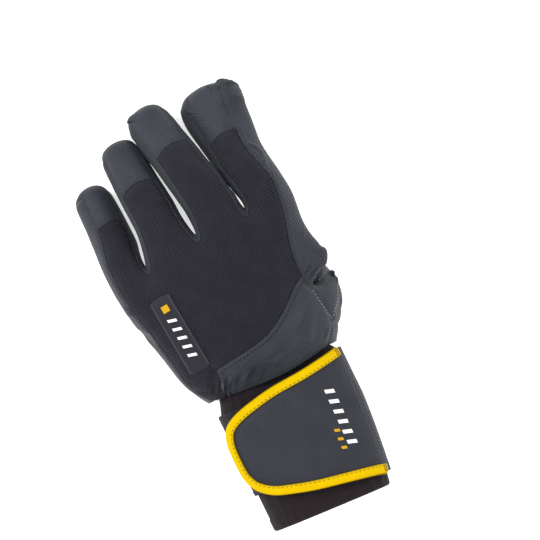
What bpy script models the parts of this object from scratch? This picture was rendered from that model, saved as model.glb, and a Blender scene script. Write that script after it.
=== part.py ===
"""A left-hand work glove with padded palm and wrist strap, lying palm down as a relaxed hand does.

+Y runs from the cuff to the fingertips, +X to the thumb side, +Z up out of the back of the hand.
The skin of the hand is one coarse cage of quads, smoothed by subdivision. Every face of the cage is
named for the sewn panel that it belongs to, and each panel becomes a wall of its own.
"""

import math

import bpy
import numpy as np
from mathutils import Vector
from mathutils.bvhtree import BVHTree

MM = 0.001
CAGE_LEVELS = 1
SEAM_GAP = 0.22 * MM
SEAM_DEPTH = 1.5 * MM
CLEARANCE = 0.35 * MM
ROW_SHIFT = Vector((2.3, 1.3, 0.0)) * MM
LONGEST_MITRE = 1.6

# Wall thickness of each kind of panel, in millimetres.
WALL_MM = {"back": 2.0, "saddle": 2.0, "tip_cap": 2.0, "fourchette": 1.5, "palm": 3.0, "thumb": 2.4}

# Colour, roughness and metallic value of each material.
FINISHES = {
    "rib_knit": ((0.020, 0.019, 0.024, 1.0), 0.85, 0.0),
    "grey_leather": ((0.055, 0.062, 0.070, 1.0), 0.55, 0.0),
    "dimpled_leather": ((0.045, 0.050, 0.058, 1.0), 0.55, 0.0),
    "side_cloth": ((0.030, 0.034, 0.040, 1.0), 0.75, 0.0),
    "cuff_knit": ((0.016, 0.014, 0.018, 1.0), 0.90, 0.0),
    "hook_loop": ((0.035, 0.038, 0.042, 1.0), 0.95, 0.0),
    "strap_cloth": ((0.052, 0.058, 0.066, 1.0), 0.60, 0.0),
    "binding_tape": ((0.850, 0.560, 0.010, 1.0), 0.50, 0.0),
    "patch_rubber": ((0.028, 0.028, 0.034, 1.0), 0.50, 0.0),
}

# Palm sections from the wrist edge to the finger webs, in millimetres. y_* place the back of the
# section and y_palm_* its underside. edge_* are its widest points, seam_* the seams beside the back
# panel, palm_edge the thumb side of the underside. back_* and palm_* are heights over the floor.
PALM_COLUMNS = (
    "y_ulnar", "y_mid", "y_radial", "y_palm_ulnar", "y_palm_radial",
    "edge_ulnar", "seam_ulnar", "seam_radial", "edge_radial", "palm_edge",
    "back_ulnar", "back_mid", "back_radial", "palm_ulnar", "palm_mid", "palm_radial",
)
PALM_SECTIONS = (
    (-41.5, -44.8, -41.0, -41.5, -41.5, -40.0, -34.5, 35.0, 42.5, 34, 31, 41, 34, -1, -1, -1),
    (-39.5, -38.5, -34.0, -37.0, -36.0, -42.5, -36.5, 41.5, 46.0, 35, 33, 45, 37, -1, -1, 0),
    (-37.0, -36.0, -21.0, -29.0, -25.0, -45.0, -39.5, 43.0, 53.0, 31, 36, 48, 42, -1, 3, 9),
    (-34.5, -33.0, -9.5, -19.0, -3.0, -46.5, -42.5, 41.0, 42.5, 28, 38, 52, 47, 0, 11, 27),
    (-31.5, -26.2, -1.5, -6.0, 9.0, -49.0, -45.0, 34.5, 66.0, 47, 40, 56, 51, 3, 17, 32),
    (-12.0, -8.0, 15.5, 8.0, 18.0, -53.5, -47.0, 37.0, 56.0, 48, 41, 60, 55, 6, 21, 33),
    (11.0, 16.0, 29.0, 22.0, 31.0, -59.0, -52.0, 43.0, 55.0, 48, 41, 62, 57, 9, 23, 32),
    (32.0, 40.0, 41.0, 37.0, 43.0, -61.0, -56.0, 46.5, 57.5, 48, 39, 60, 54, 12, 25, 28),
)
RADIAL_RISE = 1.9
SADDLE_ROWS = 4
SADDLE_FROM_COLUMN = 2
THUMB_ROWS = (1, 3)
PALM_SPLIT = 4
WEB_DIP_MM = 3.0

# Places of the nine columns across the palm, as shares of its width, at shares of its length from
# the wrist to the webs. The fingers take two columns each, and the webs are between them.
COLUMN_SPREAD = (
    (0.00, (0.0, 0.04, 0.08, 0.28, 0.465, 0.615, 0.755, 0.878, 1.0)),
    (0.29, (0.0, 0.05, 0.10, 0.29, 0.47, 0.62, 0.76, 0.880, 1.0)),
    (0.57, (0.0, 0.12, 0.24, 0.37, 0.505, 0.643, 0.781, 0.891, 1.0)),
    (1.00, (0.0, 0.09, 0.18, 0.344, 0.508, 0.656, 0.805, 0.903, 1.0)),
)
COLUMNS = len(COLUMN_SPREAD[0][1]) - 1
WEB_COLUMNS = (2, 4, 6)
PALM_INSET_MM = 6.0

# Finger sections after the web, in millimetres and degrees: centre, half width, half height, roll
# about the finger's own line, and how much of the half width the back panel takes. Then come the
# places of the fingertips, and how far each cap's seam bows towards the tip.
FINGER_COLUMNS = ("x", "y", "z", "half_width", "half_height", "roll", "back")
FINGERS = {
    "little": (
        (-48.0, 48, 24, 11.0, 11.0, -4, 0.80),
        (-46.3, 57.5, 19.5, 12.3, 10.6, -10, 0.68),
        (-46.0, 66.5, 15.5, 11.8, 10.4, -13, 0.60),
        (-46.4, 84, 9.8, 11.0, 9.6, -12, 0.60),
    ),
    "ring": (
        (-19.8, 55, 35, 12.5, 12.0, 0, 0.94),
        (-20.0, 66, 30, 12.7, 11.6, 0, 0.94),
        (-20.8, 76, 24.5, 12.2, 11.3, 0, 0.94),
        (-22.2, 98, 12, 11.6, 10.4, 0, 0.86),
    ),
    "middle": (
        (10.0, 57, 41, 12.5, 12.6, -4, 0.94),
        (7.4, 73, 35.5, 12.9, 12.2, -8, 0.94),
        (4.6, 87, 27, 12.5, 11.6, -12, 0.92),
        (0.2, 107.5, 12.5, 12.6, 10.6, -8, 0.86),
    ),
    "index": (
        (40.0, 56, 39.5, 12.9, 12.8, 6, 0.70),
        (35.9, 69, 34, 14.5, 12.2, 12, 0.60),
        (35.2, 80.5, 27, 15.8, 11.4, 17, 0.52),
        (34.1, 104.5, 12.8, 20.1, 10.0, 18, 0.52),
    ),
}
FINGER_TIPS_MM = {
    "little": (-46.4, 94.5, 7.0),
    "ring": (-22.4, 109.5, 7.5),
    "middle": (-1.8, 120.3, 8.0),
    "index": (36.0, 116.5, 8.5),
}
CAP_SECTION = 2
CAP_ARC_MM = {"little": 2.0, "ring": 5.0, "middle": 5.0, "index": 3.0}

# The thumb leaves the side of the palm and turns forward under it. Same columns as a finger.
THUMB_SECTIONS = (
    (39.5, 0.0, 13.2, 12.2, 10.4, -40, 0.86),
    (34.5, 15.0, 12.4, 12.4, 9.8, -45, 0.86),
    (29.5, 30.0, 11.4, 11.8, 9.2, -45, 0.86),
)
THUMB_TIP_MM = (25.5, 43.0, 10.0)
THUMB_BACK_SIDES = (0, 1, 2, 7)

# The bend at the thumb's root, as the eight corners of one section, in millimetres.
THUMB_BEND = (
    (47.5, -9.0, 33.0), (54.5, -10.5, 33.0), (59.2, -16.0, 26.0), (57.5, -19.0, 16.0),
    (53.5, -19.5, 6.0), (44.0, -18.0, 2.0), (32.5, -13.0, 7.5), (36.0, -7.5, 20.0),
)

# A finger section's eight corners, from the ulnar side of its back round to the ulnar side again,
# as shares of half width and half height. The back seams take their own share of the half width.
# Subdivision rounds and shrinks the corners, so they are swelled.
SECTION_CORNERS = (
    (-1.0, 0.66), (0.0, 1.0), (1.0, 0.66), (1.0, -0.02),
    (0.82, -0.68), (0.0, -1.0), (-0.82, -0.68), (-1.0, -0.02),
)
SEAM_CORNERS = (0, 2)
CREST_CORNER = 1
SIDE_SWELL = 1.055
CREST_SWELL = 1.13

# Two more sections round off each tip: how far along they are and how wide, then the end point.
TIP_RINGS = ((0.50, 0.94), (0.86, 0.70))
TIP_END = 1.18

# Cuff sections: y at the middle, how far the thumb side lies below the ulnar side, centre x, half
# width, half height and centre height, in millimetres.
CUFF_COLUMNS = ("y", "skew", "x", "half_width", "half_height", "z")
CUFF_SECTIONS = (
    (-36.5, 0, 0.8, 31.5, 14.6, 21.0),
    (-44.0, 0, 0.8, 33.4, 16.4, 20.8),
    (-52.0, 1, 0.8, 36.0, 20.2, 18.8),
    (-76.0, 2, 0.8, 36.4, 20.6, 18.6),
    (-98.0, 3, -0.2, 35.8, 20.6, 18.6),
    (-121.6, 2, -2.1, 34.0, 20.0, 18.4),
)
CUFF_SIDES = 32
CUFF_SQUARENESS = 2.5
CUFF_WALL_MM = 3.0

# The strap lies on a slightly wider tube than the cuff. Its edges are read at these places across.
STRAP_TUBE = {"x": -2.0, "half_width": 41.3, "half_height": 24.2, "z": 19.0}
STRAP_TAPER = {"start_y": -72.0, "end_y": -120.0, "width": 4.8}
STRAP_COLUMNS = ("x", "y_top", "y_bottom")
STRAP_OUTLINE = (
    (37.0, -43.7, -119.0),
    (16.0, -46.7, -114.1),
    (-3.0, -47.9, -110.2),
    (-16.0, -50.0, -106.6),
    (-27.0, -52.8, -102.6),
    (-34.2, -56.7, -97.0),
    (-37.4, -62.0, -91.4),
    (-38.9, -70.0, -84.0),
)
STRAP_THICK_MM = 1.8
STRAP_SIDE_ANGLE = -20
STRAP_SIDE_STEPS = 5
STRAP_ROWS = 6
STRAP_CURVE_STEPS = 6
BINDING_WIDTH_MM = 5.5
BINDING_TAPE_MM = 0.75
BINDING_STATIONS = 46
BINDING_BEVEL_MM = 0.5

LOOP_PATCH = {
    "y_top": -51.5, "y_bottom": -101.5, "angle_from": 84, "angle_to": 200, "thick": 1.4,
    "rows": 5, "columns": 14,
}

# The label: place, size, turn in degrees, thickness and corner radius, then its grid.
LABEL = {
    "x": -35.5, "y": -0.2, "width": 12.5, "length": 46.0, "turn": 4.5, "thick": 0.9, "round": 2.0,
    "rows": 22, "columns": 6,
}
HIGH_MM = 100.0


def clear_scene():
    """Remove every object, mesh and material of the open file."""
    for item in list(bpy.data.objects):
        bpy.data.objects.remove(item, do_unlink=True)
    for item in list(bpy.data.meshes):
        bpy.data.meshes.remove(item)
    for item in list(bpy.data.materials):
        bpy.data.materials.remove(item)


def rows_of(columns, rows):
    """Turn a table into one dictionary for each row."""
    return [dict(zip(columns, row)) for row in rows]


def mix(low, high, share):
    """Go from low to high as share goes from 0 to 1."""
    return low + (high - low) * share


def through_three(first, middle, last, share):
    """Read a parabola through values at 0, one half and 1."""
    curve = 2 * first + 2 * last - 4 * middle
    slope = last - first - curve
    return first + slope * share + curve * share * share


def finish(name):
    """Make or find the Principled material of this name."""
    material = bpy.data.materials.get(name)
    if material:
        return material
    colour, roughness, metallic = FINISHES[name]
    material = bpy.data.materials.new(name)
    material.use_nodes = True
    shader = material.node_tree.nodes["Principled BSDF"]
    shader.inputs["Base Color"].default_value = colour
    shader.inputs["Roughness"].default_value = roughness
    shader.inputs["Metallic"].default_value = metallic
    material.diffuse_color = colour
    return material


def add_object(name, points, faces, material, collection):
    """Make a named object from points in metres and faces, moved to the glove's own origin."""
    mesh = bpy.data.meshes.new(name)
    moved = [Vector(point) + ROW_SHIFT for point in points]
    mesh.from_pydata(moved, [], [tuple(face) for face in faces])
    mesh.shade_smooth()
    mesh.set_sharp_from_angle(angle=math.radians(40))
    mesh.materials.append(finish(material))
    item = bpy.data.objects.new(name, mesh)
    collection.objects.link(item)
    return item


class Cage:
    """A coarse quad mesh in millimetres, with the name of a sewn panel on each quad."""

    def __init__(self):
        self.points = []
        self.quads = []
        self.panels = []

    def add_ring(self, corners):
        """Add points and return their numbers."""
        start = len(self.points)
        self.points.extend(tuple(corner) for corner in corners)
        return list(range(start, len(self.points)))

    def add_quad(self, panel, *corners):
        """Add one quad to a panel."""
        self.quads.append(corners)
        self.panels.append(panel)


def palm_ring(section, share):
    """Give the back row, thumb edge, underside row and ulnar edge of a palm section."""
    back = []
    underside = []
    shares = [row[0] for row in COLUMN_SPREAD]
    for column in range(COLUMNS + 1):
        t = float(np.interp(share, shares, [row[1][column] for row in COLUMN_SPREAD]))
        if t < 0.5:
            y = mix(section["y_ulnar"], section["y_mid"], 2 * t)
        else:
            y = mix(section["y_mid"], section["y_radial"], (2 * t - 1) ** RADIAL_RISE)
        z = through_three(section["back_ulnar"], section["back_mid"], section["back_radial"], t)
        between_fingers = share == 1 and column in WEB_COLUMNS
        z -= WEB_DIP_MM if between_fingers else 0
        back.append((mix(section["seam_ulnar"], section["seam_radial"], t), y, z))
        low = through_three(section["palm_ulnar"], section["palm_mid"], section["palm_radial"], t)
        x = mix(section["edge_ulnar"] + PALM_INSET_MM, section["palm_edge"], t)
        underside.append((x, mix(section["y_palm_ulnar"], section["y_palm_radial"], t), low))
    thumb_edge = edge_point(section["edge_radial"], back[-1], underside[-1])
    ulnar_edge = edge_point(section["edge_ulnar"], back[0], underside[0])
    return back, thumb_edge, underside, ulnar_edge


def edge_point(x, above, below):
    """Place a section's widest point half way down its side."""
    return (x, (above[1] + below[1]) / 2, (above[2] + below[2]) / 2)


def add_palm(cage):
    """Add the palm's sections and the quads between them; return each section's point numbers."""
    sections = rows_of(PALM_COLUMNS, PALM_SECTIONS)
    rings = []
    for number, section in enumerate(sections):
        back, thumb_edge, underside, ulnar_edge = palm_ring(section, number / (len(sections) - 1))
        rings.append({
            "back": cage.add_ring(back),
            "radial": cage.add_ring([thumb_edge])[0],
            "palm": cage.add_ring(underside),
            "ulnar": cage.add_ring([ulnar_edge])[0],
        })
    for row, (near, far) in enumerate(zip(rings, rings[1:])):
        add_palm_row(cage, row, near, far)
    return rings


def add_palm_row(cage, row, near, far):
    """Add the quads between two palm sections, leaving the thumb's hole open."""
    near_back, far_back = near["back"], far["back"]
    near_palm, far_palm = near["palm"], far["palm"]
    for c in range(COLUMNS):
        on_saddle = row < SADDLE_ROWS and c >= SADDLE_FROM_COLUMN
        back_name = "saddle_panel" if on_saddle else "back_panel"
        cage.add_quad(back_name, near_back[c], near_back[c + 1], far_back[c + 1], far_back[c])
        palm_name = "palm_ulnar" if c < PALM_SPLIT else "palm_radial"
        cage.add_quad(palm_name, near_palm[c + 1], near_palm[c], far_palm[c], far_palm[c + 1])
    cage.add_quad("palm_ulnar", near["ulnar"], near_back[0], far_back[0], far["ulnar"])
    cage.add_quad("palm_ulnar", near_palm[0], near["ulnar"], far["ulnar"], far_palm[0])
    if THUMB_ROWS[0] <= row < THUMB_ROWS[1]:
        return
    cage.add_quad("palm_radial", near_back[-1], near["radial"], far["radial"], far_back[-1])
    cage.add_quad("palm_radial", near["radial"], near_palm[-1], far_palm[-1], far["radial"])


def section_ring(section, along, arc=0.0):
    """Give the eight corners of a finger section square to the direction it runs along."""
    along = along.normalized()
    side = along.cross(Vector((0, 0, 1))).normalized()
    up = side.cross(along)
    roll = math.radians(section["roll"])
    turned_side = side * math.cos(roll) + up * math.sin(roll)
    turned_up = up * math.cos(roll) - side * math.sin(roll)
    centre = Vector((section["x"], section["y"], section["z"]))
    corners = []
    for number, (across, over) in enumerate(SECTION_CORNERS):
        across *= section["back"] if number in SEAM_CORNERS else 1
        corner = centre + turned_side * (across * section["half_width"] * SIDE_SWELL)
        corner += turned_up * (over * section["half_height"] * CREST_SWELL)
        corner += along * (arc if number == CREST_CORNER else 0)
        corners.append(corner)
    return corners


def finger_sections(rows, tip):
    """Complete a finger's sections with the ones that round off its tip."""
    sections = rows_of(FINGER_COLUMNS, rows)
    last = sections[-1]
    for along, width in TIP_RINGS:
        ring = dict(last)
        for axis, place in zip("xyz", tip):
            ring[axis] = mix(last[axis], place, along)
        ring["half_width"] *= width
        ring["half_height"] *= width
        sections.append(ring)
    return sections


def join_rings(cage, near, far, panel_of_side):
    """Join two rings of eight points with quads."""
    for side in range(8):
        after = (side + 1) % 8
        cage.add_quad(panel_of_side(side), near[side], near[after], far[after], far[side])


def add_finger(cage, root, rows, tip, panel_at, cap_arc=0.0):
    """Grow a finger from a root loop of eight points; panel_at(row, side) names each quad's panel."""
    sections = finger_sections(rows, tip)
    centres = [Vector((s["x"], s["y"], s["z"])) for s in sections]
    root_centre = sum((Vector(cage.points[number]) for number in root), Vector()) / len(root)
    end = centres[-3].lerp(Vector(tip), TIP_END)
    path = [root_centre] + centres + [end]
    loop = root
    for row, section in enumerate(sections):
        arc = cap_arc if row == CAP_SECTION else 0.0
        ring = cage.add_ring(section_ring(section, path[row + 2] - path[row], arc))
        join_rings(cage, loop, ring, lambda side: panel_at(row, side))
        loop = ring
    centre = cage.add_ring([end])[0]
    last = len(sections)
    for side in (0, 2, 4, 6):
        corners = (loop[(side - 1) % 8], loop[side], loop[side + 1], centre)
        cage.add_quad(panel_at(last, side), *corners)


def finger_panel(number, row, side):
    """Name the panel of a finger's quad: sides 0 and 1 are its back, 4 and 5 its underside."""
    palm = "palm_ulnar" if number < 2 else "palm_radial"
    name = list(FINGERS)[number]
    last = len(FINGERS[name]) + len(TIP_RINGS)
    if row == last:
        return "tip_cap_" + name if side in (0, 2) else palm
    if side in (0, 1):
        return "tip_cap_" + name if row > CAP_SECTION else "back_panel"
    if side in (4, 5):
        return palm
    if row == last - 1 and side in (2, 7):
        return "tip_cap_" + name
    towards_thumb = side in (2, 3)
    if number == 3 and towards_thumb or number == 0 and not towards_thumb:
        return palm
    gap = number if towards_thumb else number - 1
    return ("fourchette_little_ring", "fourchette_ring_middle", "fourchette_middle_index")[gap]


def add_fingers(cage, rings):
    """Add the four fingers to the last palm section, with a shared point inside each web."""
    web = rings[-1]
    inner = []
    for column in WEB_COLUMNS:
        above = Vector(cage.points[web["back"][column]])
        below = Vector(cage.points[web["palm"][column]])
        inner.append(cage.add_ring([(above + below) / 2])[0])
    sides = [web["ulnar"]] + inner + [web["radial"]]
    for number, (name, rows) in enumerate(FINGERS.items()):
        first = 2 * number
        back = web["back"][first:first + 3]
        palm = web["palm"][first:first + 3]
        root = back + [sides[number + 1]] + palm[::-1] + [sides[number]]

        def panel_at(row, side, number=number):
            return finger_panel(number, row, side)

        add_finger(cage, root, rows, FINGER_TIPS_MM[name], panel_at, CAP_ARC_MM[name])


def add_thumb(cage, rings):
    """Add the thumb to the open block in the palm's thumb side."""
    first, last = THUMB_ROWS
    block = rings[first:last + 1]
    back = [ring["back"][-1] for ring in reversed(block)]
    palm = [ring["palm"][-1] for ring in block]
    root = back + [block[0]["radial"]] + palm + [block[-1]["radial"]]

    def panel_at(row, side):
        return "thumb_back" if side in THUMB_BACK_SIDES else "thumb_front"

    bend = cage.add_ring(THUMB_BEND)
    join_rings(cage, root, bend, lambda side: panel_at(0, side))
    add_finger(cage, bend, THUMB_SECTIONS, THUMB_TIP_MM, panel_at)


def hand_cage():
    """Build the whole cage of the hand, without points that no quad uses."""
    cage = Cage()
    rings = add_palm(cage)
    add_fingers(cage, rings)
    add_thumb(cage, rings)
    used = sorted({number for quad in cage.quads for number in quad})
    renumber = {old: new for new, old in enumerate(used)}
    cage.points = [cage.points[number] for number in used]
    cage.quads = [tuple(renumber[number] for number in quad) for quad in cage.quads]
    return cage


def smooth_skin(cage, levels):
    """Subdivide the cage; return points in metres, their normals, quads and each quad's panel."""
    names = sorted(set(cage.panels))
    mesh = bpy.data.meshes.new("cage")
    mesh.from_pydata([Vector(point) * MM for point in cage.points], [], cage.quads)
    panel_number = mesh.attributes.new("panel", "INT", "FACE")
    panel_number.data.foreach_set("value", [names.index(panel) for panel in cage.panels])
    item = bpy.data.objects.new("cage", mesh)
    bpy.context.scene.collection.objects.link(item)
    subdivision = item.modifiers.new("smooth", "SUBSURF")
    subdivision.levels = levels
    subdivision.render_levels = levels
    graph = bpy.context.evaluated_depsgraph_get()
    smooth = bpy.data.meshes.new_from_object(item.evaluated_get(graph))
    points = np.array([vertex.co for vertex in smooth.vertices])
    points[:, 2] = np.maximum(points[:, 2], 0.0)
    quads = np.array([tuple(polygon.vertices) for polygon in smooth.polygons])
    numbers = np.zeros(len(quads), dtype=int)
    smooth.attributes["panel"].data.foreach_get("value", numbers)
    panels = np.array(names)[numbers]
    bpy.data.objects.remove(item)
    bpy.data.meshes.remove(mesh)
    bpy.data.meshes.remove(smooth)
    return points, point_normals(points, quads), quads, panels


def point_normals(points, quads):
    """Average the normals of the quads round each point."""
    first = points[quads[:, 2]] - points[quads[:, 0]]
    second = points[quads[:, 3]] - points[quads[:, 1]]
    face = np.cross(first, second)
    face /= np.linalg.norm(face, axis=1)[:, None]
    normals = np.zeros_like(points)
    for corner in range(4):
        np.add.at(normals, quads[:, corner], face)
    return normals / np.linalg.norm(normals, axis=1)[:, None]


def open_edges(quads):
    """List the directed edges that only one of these quads has."""
    edges = {(quad[i], quad[(i + 1) % 4]) for quad in quads for i in range(4)}
    return [(a, b) for a, b in edges if (b, a) not in edges]


def edge_insets(points, normals, edges):
    """Give each point on a panel's edge its step inwards, mitred where the edge turns."""
    inward = {}
    for a, b in edges:
        along = points[b] - points[a]
        for number in (a, b):
            step = np.cross(normals[number], along)
            inward.setdefault(number, []).append(step / np.linalg.norm(step))
    insets = {}
    for number, steps in inward.items():
        total = sum(steps)
        size = float(np.linalg.norm(total))
        insets[number] = total / size * min(2 / size, LONGEST_MITRE)
    return insets


def rim_faces(a, b, count, from_a):
    """Close the rim along an edge with two triangles, split the same way on both sides of a seam."""
    if from_a:
        return [(b, a, b + count), (a, a + count, b + count)]
    return [(b, a, a + count), (b, a + count, b + count)]


def wall_of(panel):
    """Find a panel's wall thickness in metres from the first word of its name."""
    kind = next(kind for kind in WALL_MM if panel.startswith(kind))
    return WALL_MM[kind] * MM


def add_panel(panel, skin, material, collection):
    """Close one panel into a wall: its outer skin, its inner skin and the rim between them."""
    points, normals, all_quads, panels = skin
    quads = [tuple(quad) for quad in all_quads[panels == panel].tolist()]
    edges = open_edges(quads)
    insets = edge_insets(points, normals, edges)
    used = sorted({number for quad in quads for number in quad})
    place = {number: index for index, number in enumerate(used)}
    outer = np.array([points[number] + insets.get(number, 0) * SEAM_GAP for number in used])
    depths = np.array([SEAM_DEPTH if number in insets else wall_of(panel) for number in used])
    inner = outer - normals[used] * depths[:, None]
    count = len(used)
    faces = [tuple(place[number] for number in quad) for quad in quads]
    faces += [tuple(place[number] + count for number in reversed(quad)) for quad in quads]
    for a, b in edges:
        faces += rim_faces(place[a], place[b], count, a < b)
    return add_object(panel, np.vstack((outer, inner)), faces, material, collection)


def superellipse(angle, half_width, half_height):
    """Give a point of a rounded rectangle at an angle in degrees from +X towards +Z."""
    cosine = math.cos(math.radians(angle))
    sine = math.sin(math.radians(angle))
    power = 2 / CUFF_SQUARENESS
    x = math.copysign(abs(cosine) ** power, cosine) * half_width
    z = math.copysign(abs(sine) ** power, sine) * half_height
    return x, z


def cuff_point(y, angle, grow=0.0):
    """Give a point on the cuff's outer face, or grown outwards, in millimetres."""
    sections = rows_of(CUFF_COLUMNS, CUFF_SECTIONS)
    values = {name: read_table(sections, "y", name, y) for name in CUFF_COLUMNS}
    x, z = superellipse(angle, values["half_width"] + grow, values["half_height"] + grow)
    skew = values["skew"] * x / values["half_width"]
    return Vector((values["x"] + x, y - skew, max(values["z"] + z, -grow)))


def read_table(rows, key, name, value):
    """Read a column of a table between its rows."""
    ordered = sorted(rows, key=lambda row: row[key])
    return float(np.interp(value, [row[key] for row in ordered], [row[name] for row in ordered]))


def tube_faces(rings, sides):
    """List the quads between rings of points that go round a tube."""
    faces = []
    for ring in range(rings - 1):
        for side in range(sides):
            after = (side + 1) % sides
            near = ring * sides
            faces.append((near + side, near + sides + side, near + sides + after, near + after))
    return faces


def add_cuff(collection):
    """Make the knitted cuff, an open tube thickened inwards."""
    angles = [side * 360 / CUFF_SIDES for side in range(CUFF_SIDES)]
    points = []
    for section in CUFF_SECTIONS:
        points += [cuff_point(section[0], angle) * MM for angle in angles]
    faces = tube_faces(len(CUFF_SECTIONS), CUFF_SIDES)
    cuff = add_object("cuff", points, [face[::-1] for face in faces], "cuff_knit", collection)
    wall = cuff.modifiers.new("wall", "SOLIDIFY")
    wall.thickness = CUFF_WALL_MM * MM
    wall.offset = -1
    wall.use_even_offset = True
    return cuff


def add_sheet(name, lower, upper, material, collection):
    """Close a sheet between two grids of points of the same size."""
    rows = len(lower)
    columns = len(lower[0])
    count = rows * columns
    points = [point for row in lower for point in row] + [point for row in upper for point in row]
    faces = []
    for r in range(rows - 1):
        for c in range(columns - 1):
            here = r * columns + c
            corners = (here, here + 1, here + columns + 1, here + columns)
            faces.append(tuple(reversed(corners)))
            faces.append(tuple(corner + count for corner in corners))
    around = list(range(columns))
    around += [(r + 1) * columns - 1 for r in range(1, rows)]
    around += [(rows - 1) * columns + c for c in range(columns - 2, -1, -1)]
    around += [r * columns for r in range(rows - 2, 0, -1)]
    for a, b in zip(around, around[1:] + around[:1]):
        faces.append((a, b, b + count, a + count))
    return add_object(name, points, faces, material, collection)


def add_loop_patch(collection):
    """Make the hook-and-loop patch that wraps over the ulnar side of the cuff."""
    columns = LOOP_PATCH["columns"]
    rows = LOOP_PATCH["rows"]
    first, last = LOOP_PATCH["angle_from"], LOOP_PATCH["angle_to"]
    angles = [mix(first, last, column / columns) for column in range(columns + 1)]
    heights = [CLEARANCE / MM, CLEARANCE / MM + LOOP_PATCH["thick"]]
    grids = []
    for grow in heights:
        grid = []
        for row in range(rows + 1):
            y = mix(LOOP_PATCH["y_top"], LOOP_PATCH["y_bottom"], row / rows)
            grid.append([cuff_point(y, angle, grow) * MM for angle in angles])
        grids.append(grid)
    return add_sheet("loop_patch", grids[0], grids[1], "hook_loop", collection)


def strap_frame(arc, y, lift):
    """Place a point of the strap: arc and y run along its face, lift stands out from it."""
    taper = np.clip((STRAP_TAPER["start_y"] - y) / (STRAP_TAPER["start_y"] - STRAP_TAPER["end_y"]), 0, 1.1)
    narrowing = STRAP_TAPER["width"] * float(taper) ** 1.3 / 2
    angle = float(np.interp(arc, STRAP_ARCS, STRAP_ANGLES))
    here = Vector(strap_section(angle))
    along = (Vector(strap_section(angle - 1)) - Vector(strap_section(angle + 1))).normalized()
    x = here.x - along.y * lift
    z = here.y + along.x * lift
    centre = STRAP_TUBE["x"]
    x = centre - narrowing + (x - centre) * (1 - narrowing / STRAP_TUBE["half_width"])
    return Vector((x, y, z))


def strap_section(angle):
    """Give x and z on the tube that the strap's middle surface follows, in millimetres."""
    x, z = superellipse(angle, STRAP_TUBE["half_width"], STRAP_TUBE["half_height"])
    return STRAP_TUBE["x"] + x, STRAP_TUBE["z"] + z


def strap_arcs():
    """Measure the tube's girth at each whole degree, from 0 at the top, growing to the thumb side."""
    angles = list(range(175, -46, -1))
    places = np.array([strap_section(angle) for angle in angles])
    steps = np.linalg.norm(np.diff(places, axis=0), axis=1)
    arcs = np.concatenate(([0.0], np.cumsum(steps)))
    return arcs - np.interp(-90, [-angle for angle in angles], arcs), angles


STRAP_ARCS, STRAP_ANGLES = strap_arcs()


def arc_at_x(x):
    """Find the place along the strap that lies at this x on its upper half."""
    upper = [angle for angle in STRAP_ANGLES if 0 <= angle <= 175]
    places = [strap_section(angle)[0] for angle in upper]
    angle = float(np.interp(x, places, upper))
    return float(np.interp(-angle, [-a for a in STRAP_ANGLES], STRAP_ARCS))


def smooth_curve(points, steps):
    """Read a Catmull-Rom curve through flat points, with this many steps in each stretch."""
    padded = [2 * points[0] - points[1]] + points + [2 * points[-1] - points[-2]]
    curve = []
    for before, start, end, after in zip(padded, padded[1:], padded[2:], padded[3:]):
        for step in range(steps):
            t = step / steps
            curve.append(0.5 * (
                2 * start + (end - before) * t
                + (2 * before - 5 * start + 4 * end - after) * t * t
                + (3 * start - before - 3 * end + after) * t ** 3
            ))
    return curve + [points[-1]]


def strap_contour():
    """Give the strap's outer edge in arc and y, from the thumb side round the tongue and back."""
    rows = rows_of(STRAP_COLUMNS, STRAP_OUTLINE)
    top = [Vector((arc_at_x(row["x"]), row["y_top"])) for row in rows]
    bottom = [Vector((arc_at_x(row["x"]), row["y_bottom"])) for row in rows]
    curve = smooth_curve(top + bottom[::-1], STRAP_CURVE_STEPS)
    lengths = np.concatenate(([0.0], np.cumsum([(b - a).length for a, b in zip(curve, curve[1:])])))
    even = np.linspace(0, lengths[-1], BINDING_STATIONS)
    arcs = np.interp(even, lengths, [point.x for point in curve])
    ys = np.interp(even, lengths, [point.y for point in curve])
    return [Vector((arc, y)) for arc, y in zip(arcs, ys)]


def inward_steps(contour):
    """Give each point of the contour its unit step into the strap."""
    steps = []
    for number in range(len(contour)):
        before = contour[max(number - 1, 0)]
        after = contour[min(number + 1, len(contour) - 1)]
        along = (after - before).normalized()
        steps.append(Vector((-along.y, along.x)))
    return steps


def add_strap_binding(collection):
    """Make the tape folded round the strap's edge, a swept channel section."""
    contour = strap_contour()
    steps = inward_steps(contour)
    gap = CLEARANCE / MM
    leg = STRAP_THICK_MM / 2 + gap
    outside = leg + BINDING_TAPE_MM
    bevel = BINDING_BEVEL_MM
    section = (
        (BINDING_WIDTH_MM, leg), (BINDING_WIDTH_MM, outside), (bevel, outside), (0, outside - bevel),
        (0, bevel - outside), (bevel, -outside), (BINDING_WIDTH_MM, -outside), (BINDING_WIDTH_MM, -leg),
        (BINDING_TAPE_MM, -leg), (BINDING_TAPE_MM, leg),
    )
    points = []
    for place, step in zip(contour, steps):
        for depth, lift in section:
            spot = place + step * depth
            points.append(strap_frame(spot.x, spot.y, lift) * MM)
    sides = len(section)
    faces = [face[::-1] for face in tube_faces(len(contour), sides)]
    faces.append(tuple(reversed(range(sides))))
    faces.append(tuple((len(contour) - 1) * sides + side for side in range(sides)))
    return add_object("strap_binding", points, faces, "binding_tape", collection)


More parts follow.
